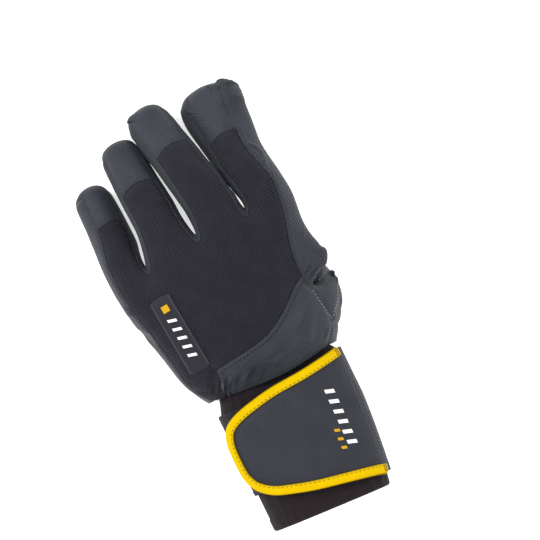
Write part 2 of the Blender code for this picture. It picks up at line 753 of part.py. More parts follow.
def add_strap(collection):
    """Make the strap's face, from inside the binding round the thumb side of the cuff."""
    contour = strap_contour()
    steps = inward_steps(contour)
    inset = BINDING_TAPE_MM + CLEARANCE / MM
    edge = [place + step * inset for place, step in zip(contour, steps)]
    half = len(edge) // 2
    upper_edge = edge[:half]
    lower_edge = edge[:-half - 1:-1]
    end_arc = float(np.interp(-STRAP_SIDE_ANGLE, [-angle for angle in STRAP_ANGLES], STRAP_ARCS))
    for step in range(1, STRAP_SIDE_STEPS + 1):
        reach = mix(contour[0].x, end_arc, step / STRAP_SIDE_STEPS)
        upper_edge.insert(0, Vector((reach, edge[0].y)))
        lower_edge.insert(0, Vector((reach, edge[-1].y)))
    grids = []
    for lift in (-STRAP_THICK_MM / 2, STRAP_THICK_MM / 2):
        grid = []
        for above, below in zip(upper_edge, lower_edge):
            across = [below.lerp(above, row / STRAP_ROWS) for row in range(STRAP_ROWS + 1)]
            grid.append([strap_frame(spot.x, spot.y, lift) * MM for spot in across])
        grids.append(grid)
    return add_sheet("strap", grids[0], grids[1], "strap_cloth", collection)


def add_label_patch(skin, collection):
    """Make the plain raised patch that follows the back of the hand."""
    points, _, quads, _ = skin
    surface = BVHTree.FromPolygons([tuple(point) for point in points], quads.tolist())
    rows = LABEL["rows"]
    columns = LABEL["columns"]
    turn = math.radians(LABEL["turn"])
    down = Vector((0, 0, -1))
    grids = ([], [])
    for row in range(rows + 1):
        along = mix(-0.5, 0.5, row / rows) * LABEL["length"]
        from_end = LABEL["length"] / 2 - abs(along)
        cut = LABEL["round"] * max(0.0, 1 - from_end / LABEL["round"]) ** 2
        lines = ([], [])
        for column in range(columns + 1):
            across = mix(-0.5, 0.5, column / columns) * (LABEL["width"] - 2 * cut)
            x = LABEL["x"] + across * math.cos(turn) - along * math.sin(turn)
            y = LABEL["y"] + across * math.sin(turn) + along * math.cos(turn)
            place, normal, _, _ = surface.ray_cast(Vector((x, y, HIGH_MM)) * MM, down)
            lines[0].append(place + normal * CLEARANCE)
            lines[1].append(place + normal * (CLEARANCE + LABEL["thick"] * MM))
        grids[0].append(lines[0])
        grids[1].append(lines[1])
    return add_sheet("label_patch", grids[0], grids[1], "patch_rubber", collection)


def panel_material(panel):
    """Choose a panel's material from its name."""
    if panel == "back_panel":
        return "rib_knit"
    if panel.startswith("fourchette"):
        return "side_cloth"
    if panel.startswith("palm") or panel == "thumb_front":
        return "dimpled_leather"
    return "grey_leather"


def build_glove():
    """Make every piece of the glove."""
    clear_scene()
    collection = bpy.data.collections.new("anti_vibration_glove")
    bpy.context.scene.collection.children.link(collection)
    cage = hand_cage()
    skin = smooth_skin(cage, CAGE_LEVELS)
    for panel in sorted(set(cage.panels)):
        add_panel(panel, skin, panel_material(panel), collection)
    add_cuff(collection)
    add_loop_patch(collection)
    add_strap(collection)
    add_strap_binding(collection)
    add_label_patch(skin, collection)


build_glove()
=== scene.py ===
"""Looks of the left-hand work glove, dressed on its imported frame.

The hand is the same coarse cage of quads as in the part's source, smoothed much further. Panels are
cut from that skin at their seams, folded and creased by moving its points, and closed into walls.
Tables and sums are in millimetres, in the hand's own axes: +Y to the fingertips, +X to the thumb.
"""

import math

import bpy
import numpy as np
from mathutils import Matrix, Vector
from mathutils import noise
from mathutils.bvhtree import BVHTree
from mathutils.kdtree import KDTree

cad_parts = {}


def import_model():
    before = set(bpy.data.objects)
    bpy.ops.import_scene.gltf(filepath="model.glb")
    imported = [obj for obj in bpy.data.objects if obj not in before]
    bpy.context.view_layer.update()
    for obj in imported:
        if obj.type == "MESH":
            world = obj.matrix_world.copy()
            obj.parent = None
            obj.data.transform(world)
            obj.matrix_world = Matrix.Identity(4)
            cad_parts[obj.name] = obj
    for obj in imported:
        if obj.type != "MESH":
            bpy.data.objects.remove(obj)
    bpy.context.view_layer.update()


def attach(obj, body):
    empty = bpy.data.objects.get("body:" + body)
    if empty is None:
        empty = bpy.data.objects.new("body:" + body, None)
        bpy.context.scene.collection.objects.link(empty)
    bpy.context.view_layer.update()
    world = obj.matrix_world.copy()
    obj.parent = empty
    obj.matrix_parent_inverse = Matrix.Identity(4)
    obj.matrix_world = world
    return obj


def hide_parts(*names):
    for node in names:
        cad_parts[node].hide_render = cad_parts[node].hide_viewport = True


MM = 0.001
ROW_SHIFT_MM = np.array((2.3, 1.3, 0.0))
SKIN_LEVELS = 4
UV_NAME = "panel_mm"

# Wall thickness of each kind of panel, and how the skin is cut at the seams.
WALL_MM = {"back": 2.0, "saddle": 2.0, "tip_cap": 2.0, "fourchette": 1.5, "palm": 3.0, "thumb": 2.4}
SEAM_GAP_MM = 0.04
SEAM_DEPTH_MM = 1.2
LONGEST_MITRE = 1.6

# The hand's cage, as in the part's source.
PALM_COLUMNS = (
    "y_ulnar", "y_mid", "y_radial", "y_palm_ulnar", "y_palm_radial",
    "edge_ulnar", "seam_ulnar", "seam_radial", "edge_radial", "palm_edge",
    "back_ulnar", "back_mid", "back_radial", "palm_ulnar", "palm_mid", "palm_radial",
)
PALM_SECTIONS = (
    (-41.5, -44.8, -41.0, -41.5, -41.5, -40.0, -34.5, 35.0, 42.5, 34, 31, 41, 34, -1, -1, -1),
    (-39.5, -38.5, -34.0, -37.0, -36.0, -42.5, -36.5, 41.5, 46.0, 35, 33, 45, 37, -1, -1, 0),
    (-37.0, -36.0, -21.0, -29.0, -25.0, -45.0, -39.5, 43.0, 53.0, 31, 36, 48, 42, -1, 3, 9),
    (-34.5, -33.0, -9.5, -19.0, -3.0, -46.5, -42.5, 41.0, 42.5, 28, 38, 52, 47, 0, 11, 27),
    (-31.5, -26.2, -1.5, -6.0, 9.0, -49.0, -45.0, 34.5, 66.0, 47, 40, 56, 51, 3, 17, 32),
    (-12.0, -8.0, 15.5, 8.0, 18.0, -53.5, -47.0, 37.0, 56.0, 48, 41, 60, 55, 6, 21, 33),
    (11.0, 16.0, 29.0, 22.0, 31.0, -59.0, -52.0, 43.0, 55.0, 48, 41, 62, 57, 9, 23, 32),
    (32.0, 40.0, 41.0, 37.0, 43.0, -61.0, -56.0, 46.5, 57.5, 48, 39, 60, 54, 12, 25, 28),
)
RADIAL_RISE = 1.9
SADDLE_ROWS = 4
SADDLE_FROM_COLUMN = 2
THUMB_ROWS = (1, 3)
PALM_SPLIT = 4
WEB_DIP_MM = 3.0
COLUMN_SPREAD = (
    (0.00, (0.0, 0.04, 0.08, 0.28, 0.465, 0.615, 0.755, 0.878, 1.0)),
    (0.29, (0.0, 0.05, 0.10, 0.29, 0.47, 0.62, 0.76, 0.880, 1.0)),
    (0.57, (0.0, 0.12, 0.24, 0.37, 0.505, 0.643, 0.781, 0.891, 1.0)),
    (1.00, (0.0, 0.09, 0.18, 0.344, 0.508, 0.656, 0.805, 0.903, 1.0)),
)
COLUMNS = len(COLUMN_SPREAD[0][1]) - 1
WEB_COLUMNS = (2, 4, 6)
PALM_INSET_MM = 6.0
FINGER_COLUMNS = ("x", "y", "z", "half_width", "half_height", "roll", "back")
FINGERS = {
    "little": (
        (-48.0, 48, 24, 11.0, 11.0, -4, 0.80),
        (-46.3, 57.5, 19.5, 12.3, 10.6, -10, 0.68),
        (-46.0, 66.5, 15.5, 11.8, 10.4, -13, 0.60),
        (-46.4, 84, 9.8, 11.0, 9.6, -12, 0.60),
    ),
    "ring": (
        (-19.8, 55, 35, 12.5, 12.0, 0, 0.94),
        (-20.0, 66, 30, 12.7, 11.6, 0, 0.94),
        (-20.8, 76, 24.5, 12.2, 11.3, 0, 0.94),
        (-22.2, 98, 12, 11.6, 10.4, 0, 0.86),
    ),
    "middle": (
        (10.0, 57, 41, 12.5, 12.6, -4, 0.94),
        (7.4, 73, 35.5, 12.9, 12.2, -8, 0.94),
        (4.6, 87, 27, 12.5, 11.6, -12, 0.92),
        (0.2, 107.5, 12.5, 12.6, 10.6, -8, 0.86),
    ),
    "index": (
        (40.0, 56, 39.5, 12.9, 12.8, 6, 0.70),
        (35.9, 69, 34, 14.5, 12.2, 12, 0.60),
        (35.2, 80.5, 27, 15.8, 11.4, 17, 0.52),
        (34.1, 104.5, 12.8, 20.1, 10.0, 18, 0.52),
    ),
}
FINGER_TIPS_MM = {
    "little": (-46.4, 94.5, 7.0),
    "ring": (-22.4, 109.5, 7.5),
    "middle": (-1.8, 120.3, 8.0),
    "index": (36.0, 116.5, 8.5),
}
CAP_SECTION = 2
CAP_ARC_MM = {"little": 2.0, "ring": 5.0, "middle": 5.0, "index": 3.0}
THUMB_SECTIONS = (
    (39.5, 0.0, 13.2, 12.2, 10.4, -40, 0.86),
    (34.5, 15.0, 12.4, 12.4, 9.8, -45, 0.86),
    (29.5, 30.0, 11.4, 11.8, 9.2, -45, 0.86),
)
THUMB_TIP_MM = (25.5, 43.0, 10.0)
THUMB_BACK_SIDES = (0, 1, 2, 7)
THUMB_BEND = (
    (47.5, -9.0, 33.0), (54.5, -10.5, 33.0), (59.2, -16.0, 26.0), (57.5, -19.0, 16.0),
    (53.5, -19.5, 6.0), (44.0, -18.0, 2.0), (32.5, -13.0, 7.5), (36.0, -7.5, 20.0),
)
SECTION_CORNERS = (
    (-1.0, 0.66), (0.0, 1.0), (1.0, 0.66), (1.0, -0.02),
    (0.82, -0.68), (0.0, -1.0), (-0.82, -0.68), (-1.0, -0.02),
)
SEAM_CORNERS = (0, 2)
CREST_CORNER = 1
SOLE_CORNER = 5
SIDE_SWELL = 1.055
CREST_SWELL = 1.13
TIP_RINGS = ((0.50, 0.94), (0.86, 0.70))
TIP_END = 1.18

# The camera stands far over the glove, turned so that the fingers point up and to the left.
PICTURE_MIDDLE_MM = (26.5, 11.2, 30.0)
PICTURE_TURN_DEG = 26.0
PICTURE_WIDTH_MM = 297.0
PICTURE_PIXELS = 540
CAMERA_HEIGHT_MM = 7000.0

# How the seams sink into the skin, and how walls grow from a seam inwards.
SEAM_BLEND_MM = 4.0
THINNEST_WALL_MM = 0.8
SEAM_GROOVE_MM = 0.55
QUIET_GROOVE_MM = 0.15
SIDE_PANELS = ("fourchette_little_ring", "fourchette_middle_index", "fourchette_ring_middle")
SEAM_PUFF_MM = 0.25
GROOVE_WIDTH_MM = 1.1
PUFF_WIDTH_MM = 4.0
SHARP_DEG = 50.0

# The cuff, patch and strap, as in the part's source, with finer grids.
CUFF_SECTIONS = (
    (-36.5, 0, 0.8, 31.5, 14.6, 21.0),
    (-44.0, 0, 0.8, 33.4, 16.4, 20.8),
    (-52.0, 1, 0.8, 36.0, 20.2, 18.8),
    (-76.0, 2, 0.8, 36.4, 20.6, 18.6),
    (-98.0, 3, -0.2, 35.8, 20.6, 18.6),
    (-121.6, 2, -2.1, 34.0, 20.0, 18.4),
)
CUFF_SQUARENESS = 2.5
CUFF_WALL_MM = 3.0
CUFF_ROWS = 100
CUFF_SIDES = 256
CUFF_MEAN_RADIUS_MM = 29.0
CUFF_HEM_MM = 6.0
CUFF_BULGE = {"angle": 12.0, "y": -44.5, "half": 5.0, "rise": 3.6}
CLEARANCE_MM = 0.35
STRAP_TUBE = {"x": -2.0, "half_width": 41.3, "half_height": 24.2, "z": 19.0}
STRAP_TAPER = {"start_y": -72.0, "end_y": -120.0, "width": 4.8}
STRAP_OUTLINE = (
    (37.0, -43.7, -119.0),
    (16.0, -46.7, -114.1),
    (-3.0, -47.9, -110.2),
    (-16.0, -50.0, -106.6),
    (-27.0, -52.8, -102.6),
    (-34.2, -56.7, -97.0),
    (-37.4, -62.0, -91.4),
    (-38.9, -70.0, -84.0),
)
STRAP_THICK_MM = 1.8
STRAP_SIDE_ANGLE = -20
STRAP_STATIONS = 320
STRAP_ROWS = 60
STRAP_SIDE_COLUMNS = 30
STRAP_PUFF_MM = 0.5
BINDING_WIDTH_MM = 5.5
BINDING_TAPE_MM = 0.75
BINDING_SECTION_MM = ((5.5, 1.75), (5.1, 2.0), (4.0, 2.1), (2.6, 2.1), (1.4, 1.95), (0.5, 1.5), (0.05, 0.8))
LOOP_PATCH = {"y_top": -51.5, "y_bottom": -101.5, "angle_from": 84, "angle_to": 200, "thick": 1.4}
TUFT_MM = 0.5
LOOP_ROWS = 80
LOOP_COLUMNS = 110
LABEL = {
    "x": -35.5, "y": -0.2, "width": 12.5, "length": 46.0, "turn": 4.5, "thick": 0.9, "round": 2.0,
}
LABEL_ROWS = 90
LABEL_COLUMNS = 26

# Pitches of the knit's ribs and loops, in millimetres, and how much the loops slant.
RIB_PITCH_MM = 1.12
LOOP_PITCH_MM = 1.05
RIB_SLANT = 0.45

# Creases of the skin as the photo shows them: half width and height in millimetres, how much of the
# height dies away at each end, and a line in the photo's pixels, right and down.
TOP_FOLDS = (
    (1.8, -1.5, 0.3, ((214.3, 364), (212.8, 374), (212.2, 384), (212.5, 394))),
    (3.6, -0.9, 0.5, ((214, 315), (219, 330), (221, 345), (216, 364))),
    (1.0, -1.1, 0.2, ((216.8, 376), (214.8, 386), (213, 395))),
    (1.0, -1.1, 0.2, ((227.5, 376), (227.2, 386), (226.5, 396))),
    (1.2, -1.2, 0.3, ((232.6, 379), (231.4, 386), (230.3, 392))),
    (2.2, -1.0, 0.4, ((241, 372), (239, 381), (236, 389))),
    (2.2, -1.0, 0.4, ((256, 364), (254, 373), (250, 382))),
    (2.4, -0.9, 0.4, ((285, 345), (276, 355), (266, 363))),
    (2.6, -1.1, 0.4, ((309, 303), (303, 324), (292, 345))),
    (1.2, -0.8, 0.3, ((328.0, 324), (325.0, 333), (321.5, 343))),
    (1.2, -1.2, 0.2, ((327, 273), (334, 277), (340, 280))),
    (0.8, -0.8, 0.3, ((303, 277), (308, 269), (312, 262))),
    (0.8, -0.8, 0.3, ((307, 279.5), (312.5, 272), (316.5, 265))),
    (0.8, -0.8, 0.3, ((311.5, 281), (317, 273.5), (321, 266))),
    (1.4, -0.7, 0.3, ((300, 273), (303, 263), (305, 252))),
    (1.0, -1.0, 0.3, ((206, 84), (209, 87.5), (214, 91.5))),
    (1.6, -0.6, 0.4, ((243, 150), (252, 156), (259, 168))),
    (1.6, -0.6, 0.4, ((262, 178), (270, 190), (276, 206))),
)

# Rolls and hollows with soft round sides, written the same way.
TOP_SWELLS = (
    (1.0, 0.9, 0.2, ((223.4, 373), (223.8, 384), (223.0, 396))),
    (2.2, 0.7, 0.4, ((248, 368), (246, 376), (243, 384))),
    (2.6, 1.0, 0.4, ((300, 300), (291, 322), (279, 340))),
    (3.0, 1.1, 0.4, ((314, 318), (309, 335), (300, 350))),
    (1.2, 0.8, 0.2, ((330, 279), (336, 281), (341, 285))),
    (0.9, 0.6, 0.3, ((305, 278), (310, 270.5), (314, 263.5))),
    (0.9, 0.6, 0.3, ((309, 280.5), (314.5, 273), (318.5, 266))),
    (4.5, 2.8, 0.3, ((319, 269), (321.5, 260), (321, 252), (318.5, 245))),
    (4.0, 2.0, 0.3, ((331, 274.5), (337, 277.5), (341, 285))),
    (5.0, -1.6, 0.3, ((342, 294), (341, 305), (337.5, 318))),
    (6.5, 1.8, 0.3, ((221, 86), (229, 92), (236, 104))),
    (6.0, 2.3, 0.3, ((217, 84), (225, 82.5), (231, 88))),
    (4.5, 1.2, 0.3, ((134, 108), (131, 115), (130, 123))),
    (5.0, 1.9, 0.3, ((212, 158), (223, 172), (237, 189), (246, 203))),
    (5.0, 1.9, 0.3, ((204, 163), (215, 179), (230, 198), (241, 209))),
    (5.0, 1.3, 0.3, ((126, 304), (129, 311), (133, 318))),
    (8.0, -1.6, 0.3, ((141, 330), (149, 342), (158, 354))),
    (6.0, -1.3, 0.3, ((188, 380), (196, 389), (204, 396))),
    (5.0, 2.2, 0.3, ((183, 118), (186, 112), (191, 104))),
    (1.0, 0.8, 0.15, ((228.5, 103), (233.2, 127), (241, 138), (247.5, 143), (256.4, 147.7), (262.7, 155.7),
     (265.4, 166.4), (276, 199.5))),
)

# Creases of the underside in the hand's own millimetres.
UNDER_FOLDS = (
    (2.0, -1.3, 0.25, ((-52, 34), (-44, 30), (-36, 31))),
    (2.0, -1.3, 0.25, ((-30, 36), (-20, 34), (-10, 36))),
    (2.0, -1.3, 0.25, ((-4, 39), (8, 38), (18, 41))),
    (2.0, -1.3, 0.25, ((24, 42), (36, 42), (48, 46))),
    (2.6, -1.5, 0.3, ((-46, 14), (-28, 10), (-8, 13), (14, 22), (30, 31))),
    (2.6, -1.4, 0.3, ((40, 20), (22, 8), (4, 1), (-16, -2))),
    (2.8, -1.6, 0.3, ((34, 13), (22, 0), (14, -14), (12, -30))),
    (1.8, -1.0, 0.3, ((-10, -24), (4, -27), (18, -26))),
    (1.6, -1.0, 0.25, ((-53, 55), (-46, 54), (-39, 55))),
    (1.6, -1.0, 0.25, ((-29, 62), (-20, 61), (-12, 62))),
    (1.6, -1.0, 0.25, ((0, 68), (8, 67), (16, 68))),
    (1.6, -1.0, 0.25, ((28, 68), (38, 67), (48, 69))),
    (1.4, -0.9, 0.25, ((-53, 72), (-46, 71), (-39, 72))),
    (1.4, -0.9, 0.25, ((-30, 82), (-21, 81), (-13, 82))),
    (1.4, -0.9, 0.25, ((-4, 91), (4, 90), (12, 91))),
    (1.4, -0.9, 0.25, ((24, 87), (35, 86), (47, 88))),
)
FOLD_STEP_MM = 0.6

# Rolled lips beside the back panel's seams: the panel they belong to, radius and inset.
SEAM_LIPS = (
    ("palm_radial", 0.55, 0.75), ("palm_ulnar", 0.40, 0.60), ("saddle_panel", 0.45, 0.60),
    ("fourchette_little_ring", 0.45, 0.40), ("fourchette_ring_middle", 0.50, 0.40),
    ("fourchette_middle_index", 0.50, 0.40),
    ("tip_cap_little", 0.35, 0.55), ("tip_cap_ring", 0.35, 0.55),
    ("tip_cap_middle", 0.35, 0.55), ("tip_cap_index", 0.35, 0.55),
)
TUBE_SIDE_MM = 0.3
SHORTEST_CHAIN = 6

# Bands along one panel's side of a seam: the two panels, the band's place, half width and height.
SEAM_BANDS = (
    ("saddle_panel", "back_panel", 1.15, 0.85, 0.80), ("saddle_panel", "back_panel", 2.5, 0.50, -0.70),
    ("palm_radial", "back_panel", 2.3, 0.9, 0.20), ("palm_ulnar", "back_panel", 2.3, 0.9, 0.20),
    ("palm_ulnar", "palm_radial", 2.2, 0.5, -0.30), ("palm_radial", "palm_ulnar", 2.2, 0.5, -0.30),
)

# Lines of stitches that follow a seam: name, thread, the panel they are on, the panel beyond the
# seam, how far from the seam, stitch length, gap and thickness.
SEAM_STITCHES = (
    ("saddle_stitches", "dark_thread", "saddle_panel", "back_panel", 2.3, 1.7, 0.9, 0.42),
    ("palm_stitches_ulnar", "dark_thread", "palm_ulnar", "palm_radial", 1.8, 2.0, 1.0, 0.45),
    ("palm_stitches_radial", "dark_thread", "palm_radial", "palm_ulnar", 1.8, 2.0, 1.0, 0.45),
    ("thumb_seam_stitches", "dark_thread", "thumb_back", "thumb_front", 1.6, 1.8, 0.9, 0.42),
)

# Lines of stitches in the photo's pixels: name, thread, stitch length, gap, thickness and the line.
TOP_STITCHES = (
    ("thumb_stitches", "pale_thread", 1.3, 0.9, 0.45,
     ((312, 289.5), (317, 297), (323, 306), (329, 315), (332.7, 319.4))),
    ("lobe_stitches", "pale_thread", 1.4, 0.8, 0.4,
     ((318.5, 281), (322.5, 276), (326.0, 270.5), (328, 264.5))),
    ("thumb_edge_stitches", "pale_thread", 1.2, 0.8, 0.40,
     ((337, 284), (337.5, 293), (336.5, 303), (334.5, 311), (333, 317))),
    ("wrist_edge_stitches", "pale_thread", 1.2, 0.8, 0.40, ((332.5, 322), (333.5, 329), (333.5, 337))),
)
STRAP_STITCHES = (
    ("strap_stitches", "dark_thread", 1.5, 0.9, 0.40, ((346.5, 372), (357, 398), (369, 428), (379.5, 456))),
    ("strap_edge_stitches", "dark_thread", 1.5, 0.9, 0.40,
     ((350.5, 371), (361, 397), (373, 427), (383.5, 455))),
)
TAPE_STITCHES = {"depth": 4.4, "lift": 2.12, "length": 1.5, "gap": 1.1, "thick": 0.32}
TAPE_TACKS_MM = (1.4, 2.9)
TACK_RADIUS_MM = 0.28

# Plain slanted bars in the photo's pixels: a bar's middle, half width, half length and two slants in
# degrees, of its length and of its ends; then how far it lies over the surface below.
LABEL_BARS = (
    ("label_bar_amber", "amber_print", ((165.8, 309), 3.6, 3.6), 30.5, 0.0),
    ("label_bar_a", "light_print", ((172.5, 320.5), 4.4, 1.5), 30.5, 18.0),
    ("label_bar_b", "light_print", ((177.6, 329.0), 4.4, 1.5), 30.5, 18.0),
    ("label_bar_c", "light_print", ((182.6, 337.5), 4.4, 1.5), 30.5, 18.0),
    ("label_bar_d", "light_print", ((187.6, 346.0), 4.4, 1.5), 30.5, 18.0),
    ("label_bar_e", "light_print", ((192.6, 354.5), 4.4, 1.5), 30.5, 18.0),
)
STRAP_BARS = (
    ("strap_bar_a", "light_print", ((329.5, 391.0), 4.6, 2.0), 25.0, 18.0),
    ("strap_bar_b", "light_print", ((334.0, 401.0), 4.6, 2.0), 25.0, 18.0),
    ("strap_bar_c", "light_print", ((338.5, 411.0), 4.6, 2.0), 25.0, 18.0),
    ("strap_bar_d", "light_print", ((343.0, 421.0), 4.6, 2.0), 25.0, 18.0),
    ("strap_bar_e", "light_print", ((347.5, 431.0), 4.6, 2.0), 25.0, 18.0),
    ("strap_bar_f", "light_print", ((352.0, 441.0), 4.6, 2.0), 25.0, 18.0),
    ("strap_bar_g", "amber_print", ((337.0, 430.0), 2.6, 1.5), 25.0, 18.0),
    ("strap_bar_h", "amber_print", ((340.6, 438.5), 2.6, 1.5), 25.0, 18.0),
    ("strap_bar_i", "amber_print", ((344.2, 447.0), 2.6, 1.5), 25.0, 18.0),
)
BAR_GRID = 10
BAR_THICK_MM = 0.14

# Lights: name, place in metres, size in metres and power in watts.
LIGHTS = (
    ("key", (-0.9, 0.9, 1.3), 0.9, 20.0),
    ("fill", (0.9, -0.7, 1.2), 1.2, 9.0),
)
WORLD_STRENGTH = 0.95
FLOOR_GLOW = 0.60


def rows_of(columns, rows):
    """Turn a table into one dictionary for each row."""
    return [dict(zip(columns, row)) for row in rows]


def mix(low, high, share):
    """Go from low to high as share goes from 0 to 1."""
    return low + (high - low) * share


def through_three(first, middle, last, share):
    """Read a parabola through values at 0, one half and 1."""
    curve = 2 * first + 2 * last - 4 * middle
    slope = last - first - curve
    return first + slope * share + curve * share * share


class Cage:
    """A coarse quad mesh with a panel's name on each quad, and its corners' places on a flat map.

    The map called back is centred on the back of the hand or finger, and the one called wrap on
    its underside. Both are in millimetres, with v growing towards the fingertips.
    """

    def __init__(self):
        self.points = []
        self.quads = []
        self.panels = []
        self.maps = []
        self.palm_maps = {"back": {}, "wrap": {}}

    def add_ring(self, corners):
        """Add points and return their numbers."""
        start = len(self.points)
        self.points.extend(tuple(corner) for corner in corners)
        return list(range(start, len(self.points)))

    def add_quad(self, panel, corners, places):
        """Add one quad to a panel, with its corners' places on the flat map."""
        self.quads.append(tuple(corners))
        self.panels.append(panel)
        self.maps.append(tuple(places))

    def add_palm_quad(self, panel, chart, *corners):
        """Add one quad whose corners are all in the palm's own map."""
        self.add_quad(panel, corners, [self.palm_maps[chart][number] for number in corners])


def palm_ring(section, share):
    """Give the back row, thumb edge, underside row and ulnar edge of a palm section."""
    back = []
    underside = []
    shares = [row[0] for row in COLUMN_SPREAD]
    for column in range(COLUMNS + 1):
        t = float(np.interp(share, shares, [row[1][column] for row in COLUMN_SPREAD]))
        if t < 0.5:
            y = mix(section["y_ulnar"], section["y_mid"], 2 * t)
        else:
            y = mix(section["y_mid"], section["y_radial"], (2 * t - 1) ** RADIAL_RISE)
        z = through_three(section["back_ulnar"], section["back_mid"], section["back_radial"], t)
        between_fingers = share == 1 and column in WEB_COLUMNS
        z -= WEB_DIP_MM if between_fingers else 0
        back.append((mix(section["seam_ulnar"], section["seam_radial"], t), y, z))
        low = through_three(section["palm_ulnar"], section["palm_mid"], section["palm_radial"], t)
        x = mix(section["edge_ulnar"] + PALM_INSET_MM, section["palm_edge"], t)
        underside.append((x, mix(section["y_palm_ulnar"], section["y_palm_radial"], t), low))
    thumb_edge = edge_point(section["edge_radial"], back[-1], underside[-1])
    ulnar_edge = edge_point(section["edge_ulnar"], back[0], underside[0])
    return back, thumb_edge, underside, ulnar_edge


def edge_point(x, above, below):
    """Place a section's widest point half way down its side."""
    return (x, (above[1] + below[1]) / 2, (above[2] + below[2]) / 2)


def map_palm_ring(cage, ring):
    """Lay one palm section's points out flat, its sides unrolled from its underside."""
    back, wrap = cage.palm_maps["back"], cage.palm_maps["wrap"]
    for number in ring["back"]:
        back[number] = cage.points[number][:2]
    for number in ring["palm"]:
        wrap[number] = cage.points[number][:2]
    for edge, column, way in (("radial", -1, 1), ("ulnar", 0, -1)):
        chain = (ring["palm"][column], ring[edge], ring["back"][column])
        u = cage.points[chain[0]][0]
        for before, here in zip(chain, chain[1:]):
            u += way * math.dist(cage.points[before], cage.points[here])
            wrap[here] = (u, cage.points[here][1])


def add_palm(cage):
    """Add the palm's sections and the quads between them; return each section's point numbers."""
    sections = rows_of(PALM_COLUMNS, PALM_SECTIONS)
    rings = []
    for number, section in enumerate(sections):
        back, thumb_edge, underside, ulnar_edge = palm_ring(section, number / (len(sections) - 1))
        ring = {
            "back": cage.add_ring(back),
            "radial": cage.add_ring([thumb_edge])[0],
            "palm": cage.add_ring(underside),
            "ulnar": cage.add_ring([ulnar_edge])[0],
        }
        map_palm_ring(cage, ring)
        rings.append(ring)
    for row, (near, far) in enumerate(zip(rings, rings[1:])):
        add_palm_row(cage, row, near, far)
    return rings


def add_palm_row(cage, row, near, far):
    """Add the quads between two palm sections, leaving the thumb's hole open."""
    near_back, far_back = near["back"], far["back"]
    near_palm, far_palm = near["palm"], far["palm"]
    add = cage.add_palm_quad
    for c in range(COLUMNS):
        on_saddle = row < SADDLE_ROWS and c >= SADDLE_FROM_COLUMN
        back_name = "saddle_panel" if on_saddle else "back_panel"
        add(back_name, "back", near_back[c], near_back[c + 1], far_back[c + 1], far_back[c])
        palm_name = "palm_ulnar" if c < PALM_SPLIT else "palm_radial"
        add(palm_name, "wrap", near_palm[c + 1], near_palm[c], far_palm[c], far_palm[c + 1])
    add("palm_ulnar", "wrap", near["ulnar"], near_back[0], far_back[0], far["ulnar"])
    add("palm_ulnar", "wrap", near_palm[0], near["ulnar"], far["ulnar"], far_palm[0])
    if THUMB_ROWS[0] <= row < THUMB_ROWS[1]:
        return
    add("palm_radial", "wrap", near_back[-1], near["radial"], far["radial"], far_back[-1])
    add("palm_radial", "wrap", near["radial"], near_palm[-1], far_palm[-1], far["radial"])


def section_ring(section, along, arc=0.0):
    """Give the eight corners of a finger section square to the direction it runs along."""
    along = along.normalized()
    side = along.cross(Vector((0, 0, 1))).normalized()
    up = side.cross(along)
    roll = math.radians(section["roll"])
    turned_side = side * math.cos(roll) + up * math.sin(roll)
    turned_up = up * math.cos(roll) - side * math.sin(roll)
    centre = Vector((section["x"], section["y"], section["z"]))
    corners = []
    for number, (across, over) in enumerate(SECTION_CORNERS):
        across *= section["back"] if number in SEAM_CORNERS else 1
        corner = centre + turned_side * (across * section["half_width"] * SIDE_SWELL)
        corner += turned_up * (over * section["half_height"] * CREST_SWELL)
        corner += along * (arc if number == CREST_CORNER else 0)
        corners.append(corner)
    return corners


def finger_sections(rows, tip):
    """Complete a finger's sections with the ones that round off its tip."""
    sections = rows_of(FINGER_COLUMNS, rows)
    last = sections[-1]
    for along, width in TIP_RINGS:
        ring = dict(last)
        for axis, place in zip("xyz", tip):
            ring[axis] = mix(last[axis], place, along)
        ring["half_width"] *= width
        ring["half_height"] *= width
        sections.append(ring)
    return sections


def ring_map(cage, ring, starts, v, use_palm=False):
    """Lay a ring of eight points out flat both ways: from its crest, and from its sole."""
    corners = [cage.points[number] for number in ring]
    charts = {}
    for chart, middle, way in (("back", CREST_CORNER, 1), ("wrap", SOLE_CORNER, -1)):
        places = {middle: (starts[chart], v)}
        for turn in (1, -1):
            u = starts[chart]
            for step in range(1, 5):
                here = (middle + turn * step) % 8
                u += way * turn * math.dist(corners[(here - turn) % 8], corners[here])
                places[here] = (u, v)
        if use_palm:
            known = cage.palm_maps[chart]
            places = {corner: known.get(ring[corner], place) for corner, place in places.items()}
        charts[chart] = places
    return charts


def join_rings(cage, near, far, maps, panel_of_side, back_sides):
    """Join two rings of eight points with quads, mapped from the back on the sides named."""
    for side in range(8):
        after = (side + 1) % 8
        chart = "back" if side in back_sides else "wrap"
        low, high = maps[0][chart], maps[1][chart]
        corners = (near[side], near[after], far[after], far[side])
        cage.add_quad(panel_of_side(side), corners, (low[side], low[after], high[after], high[side]))


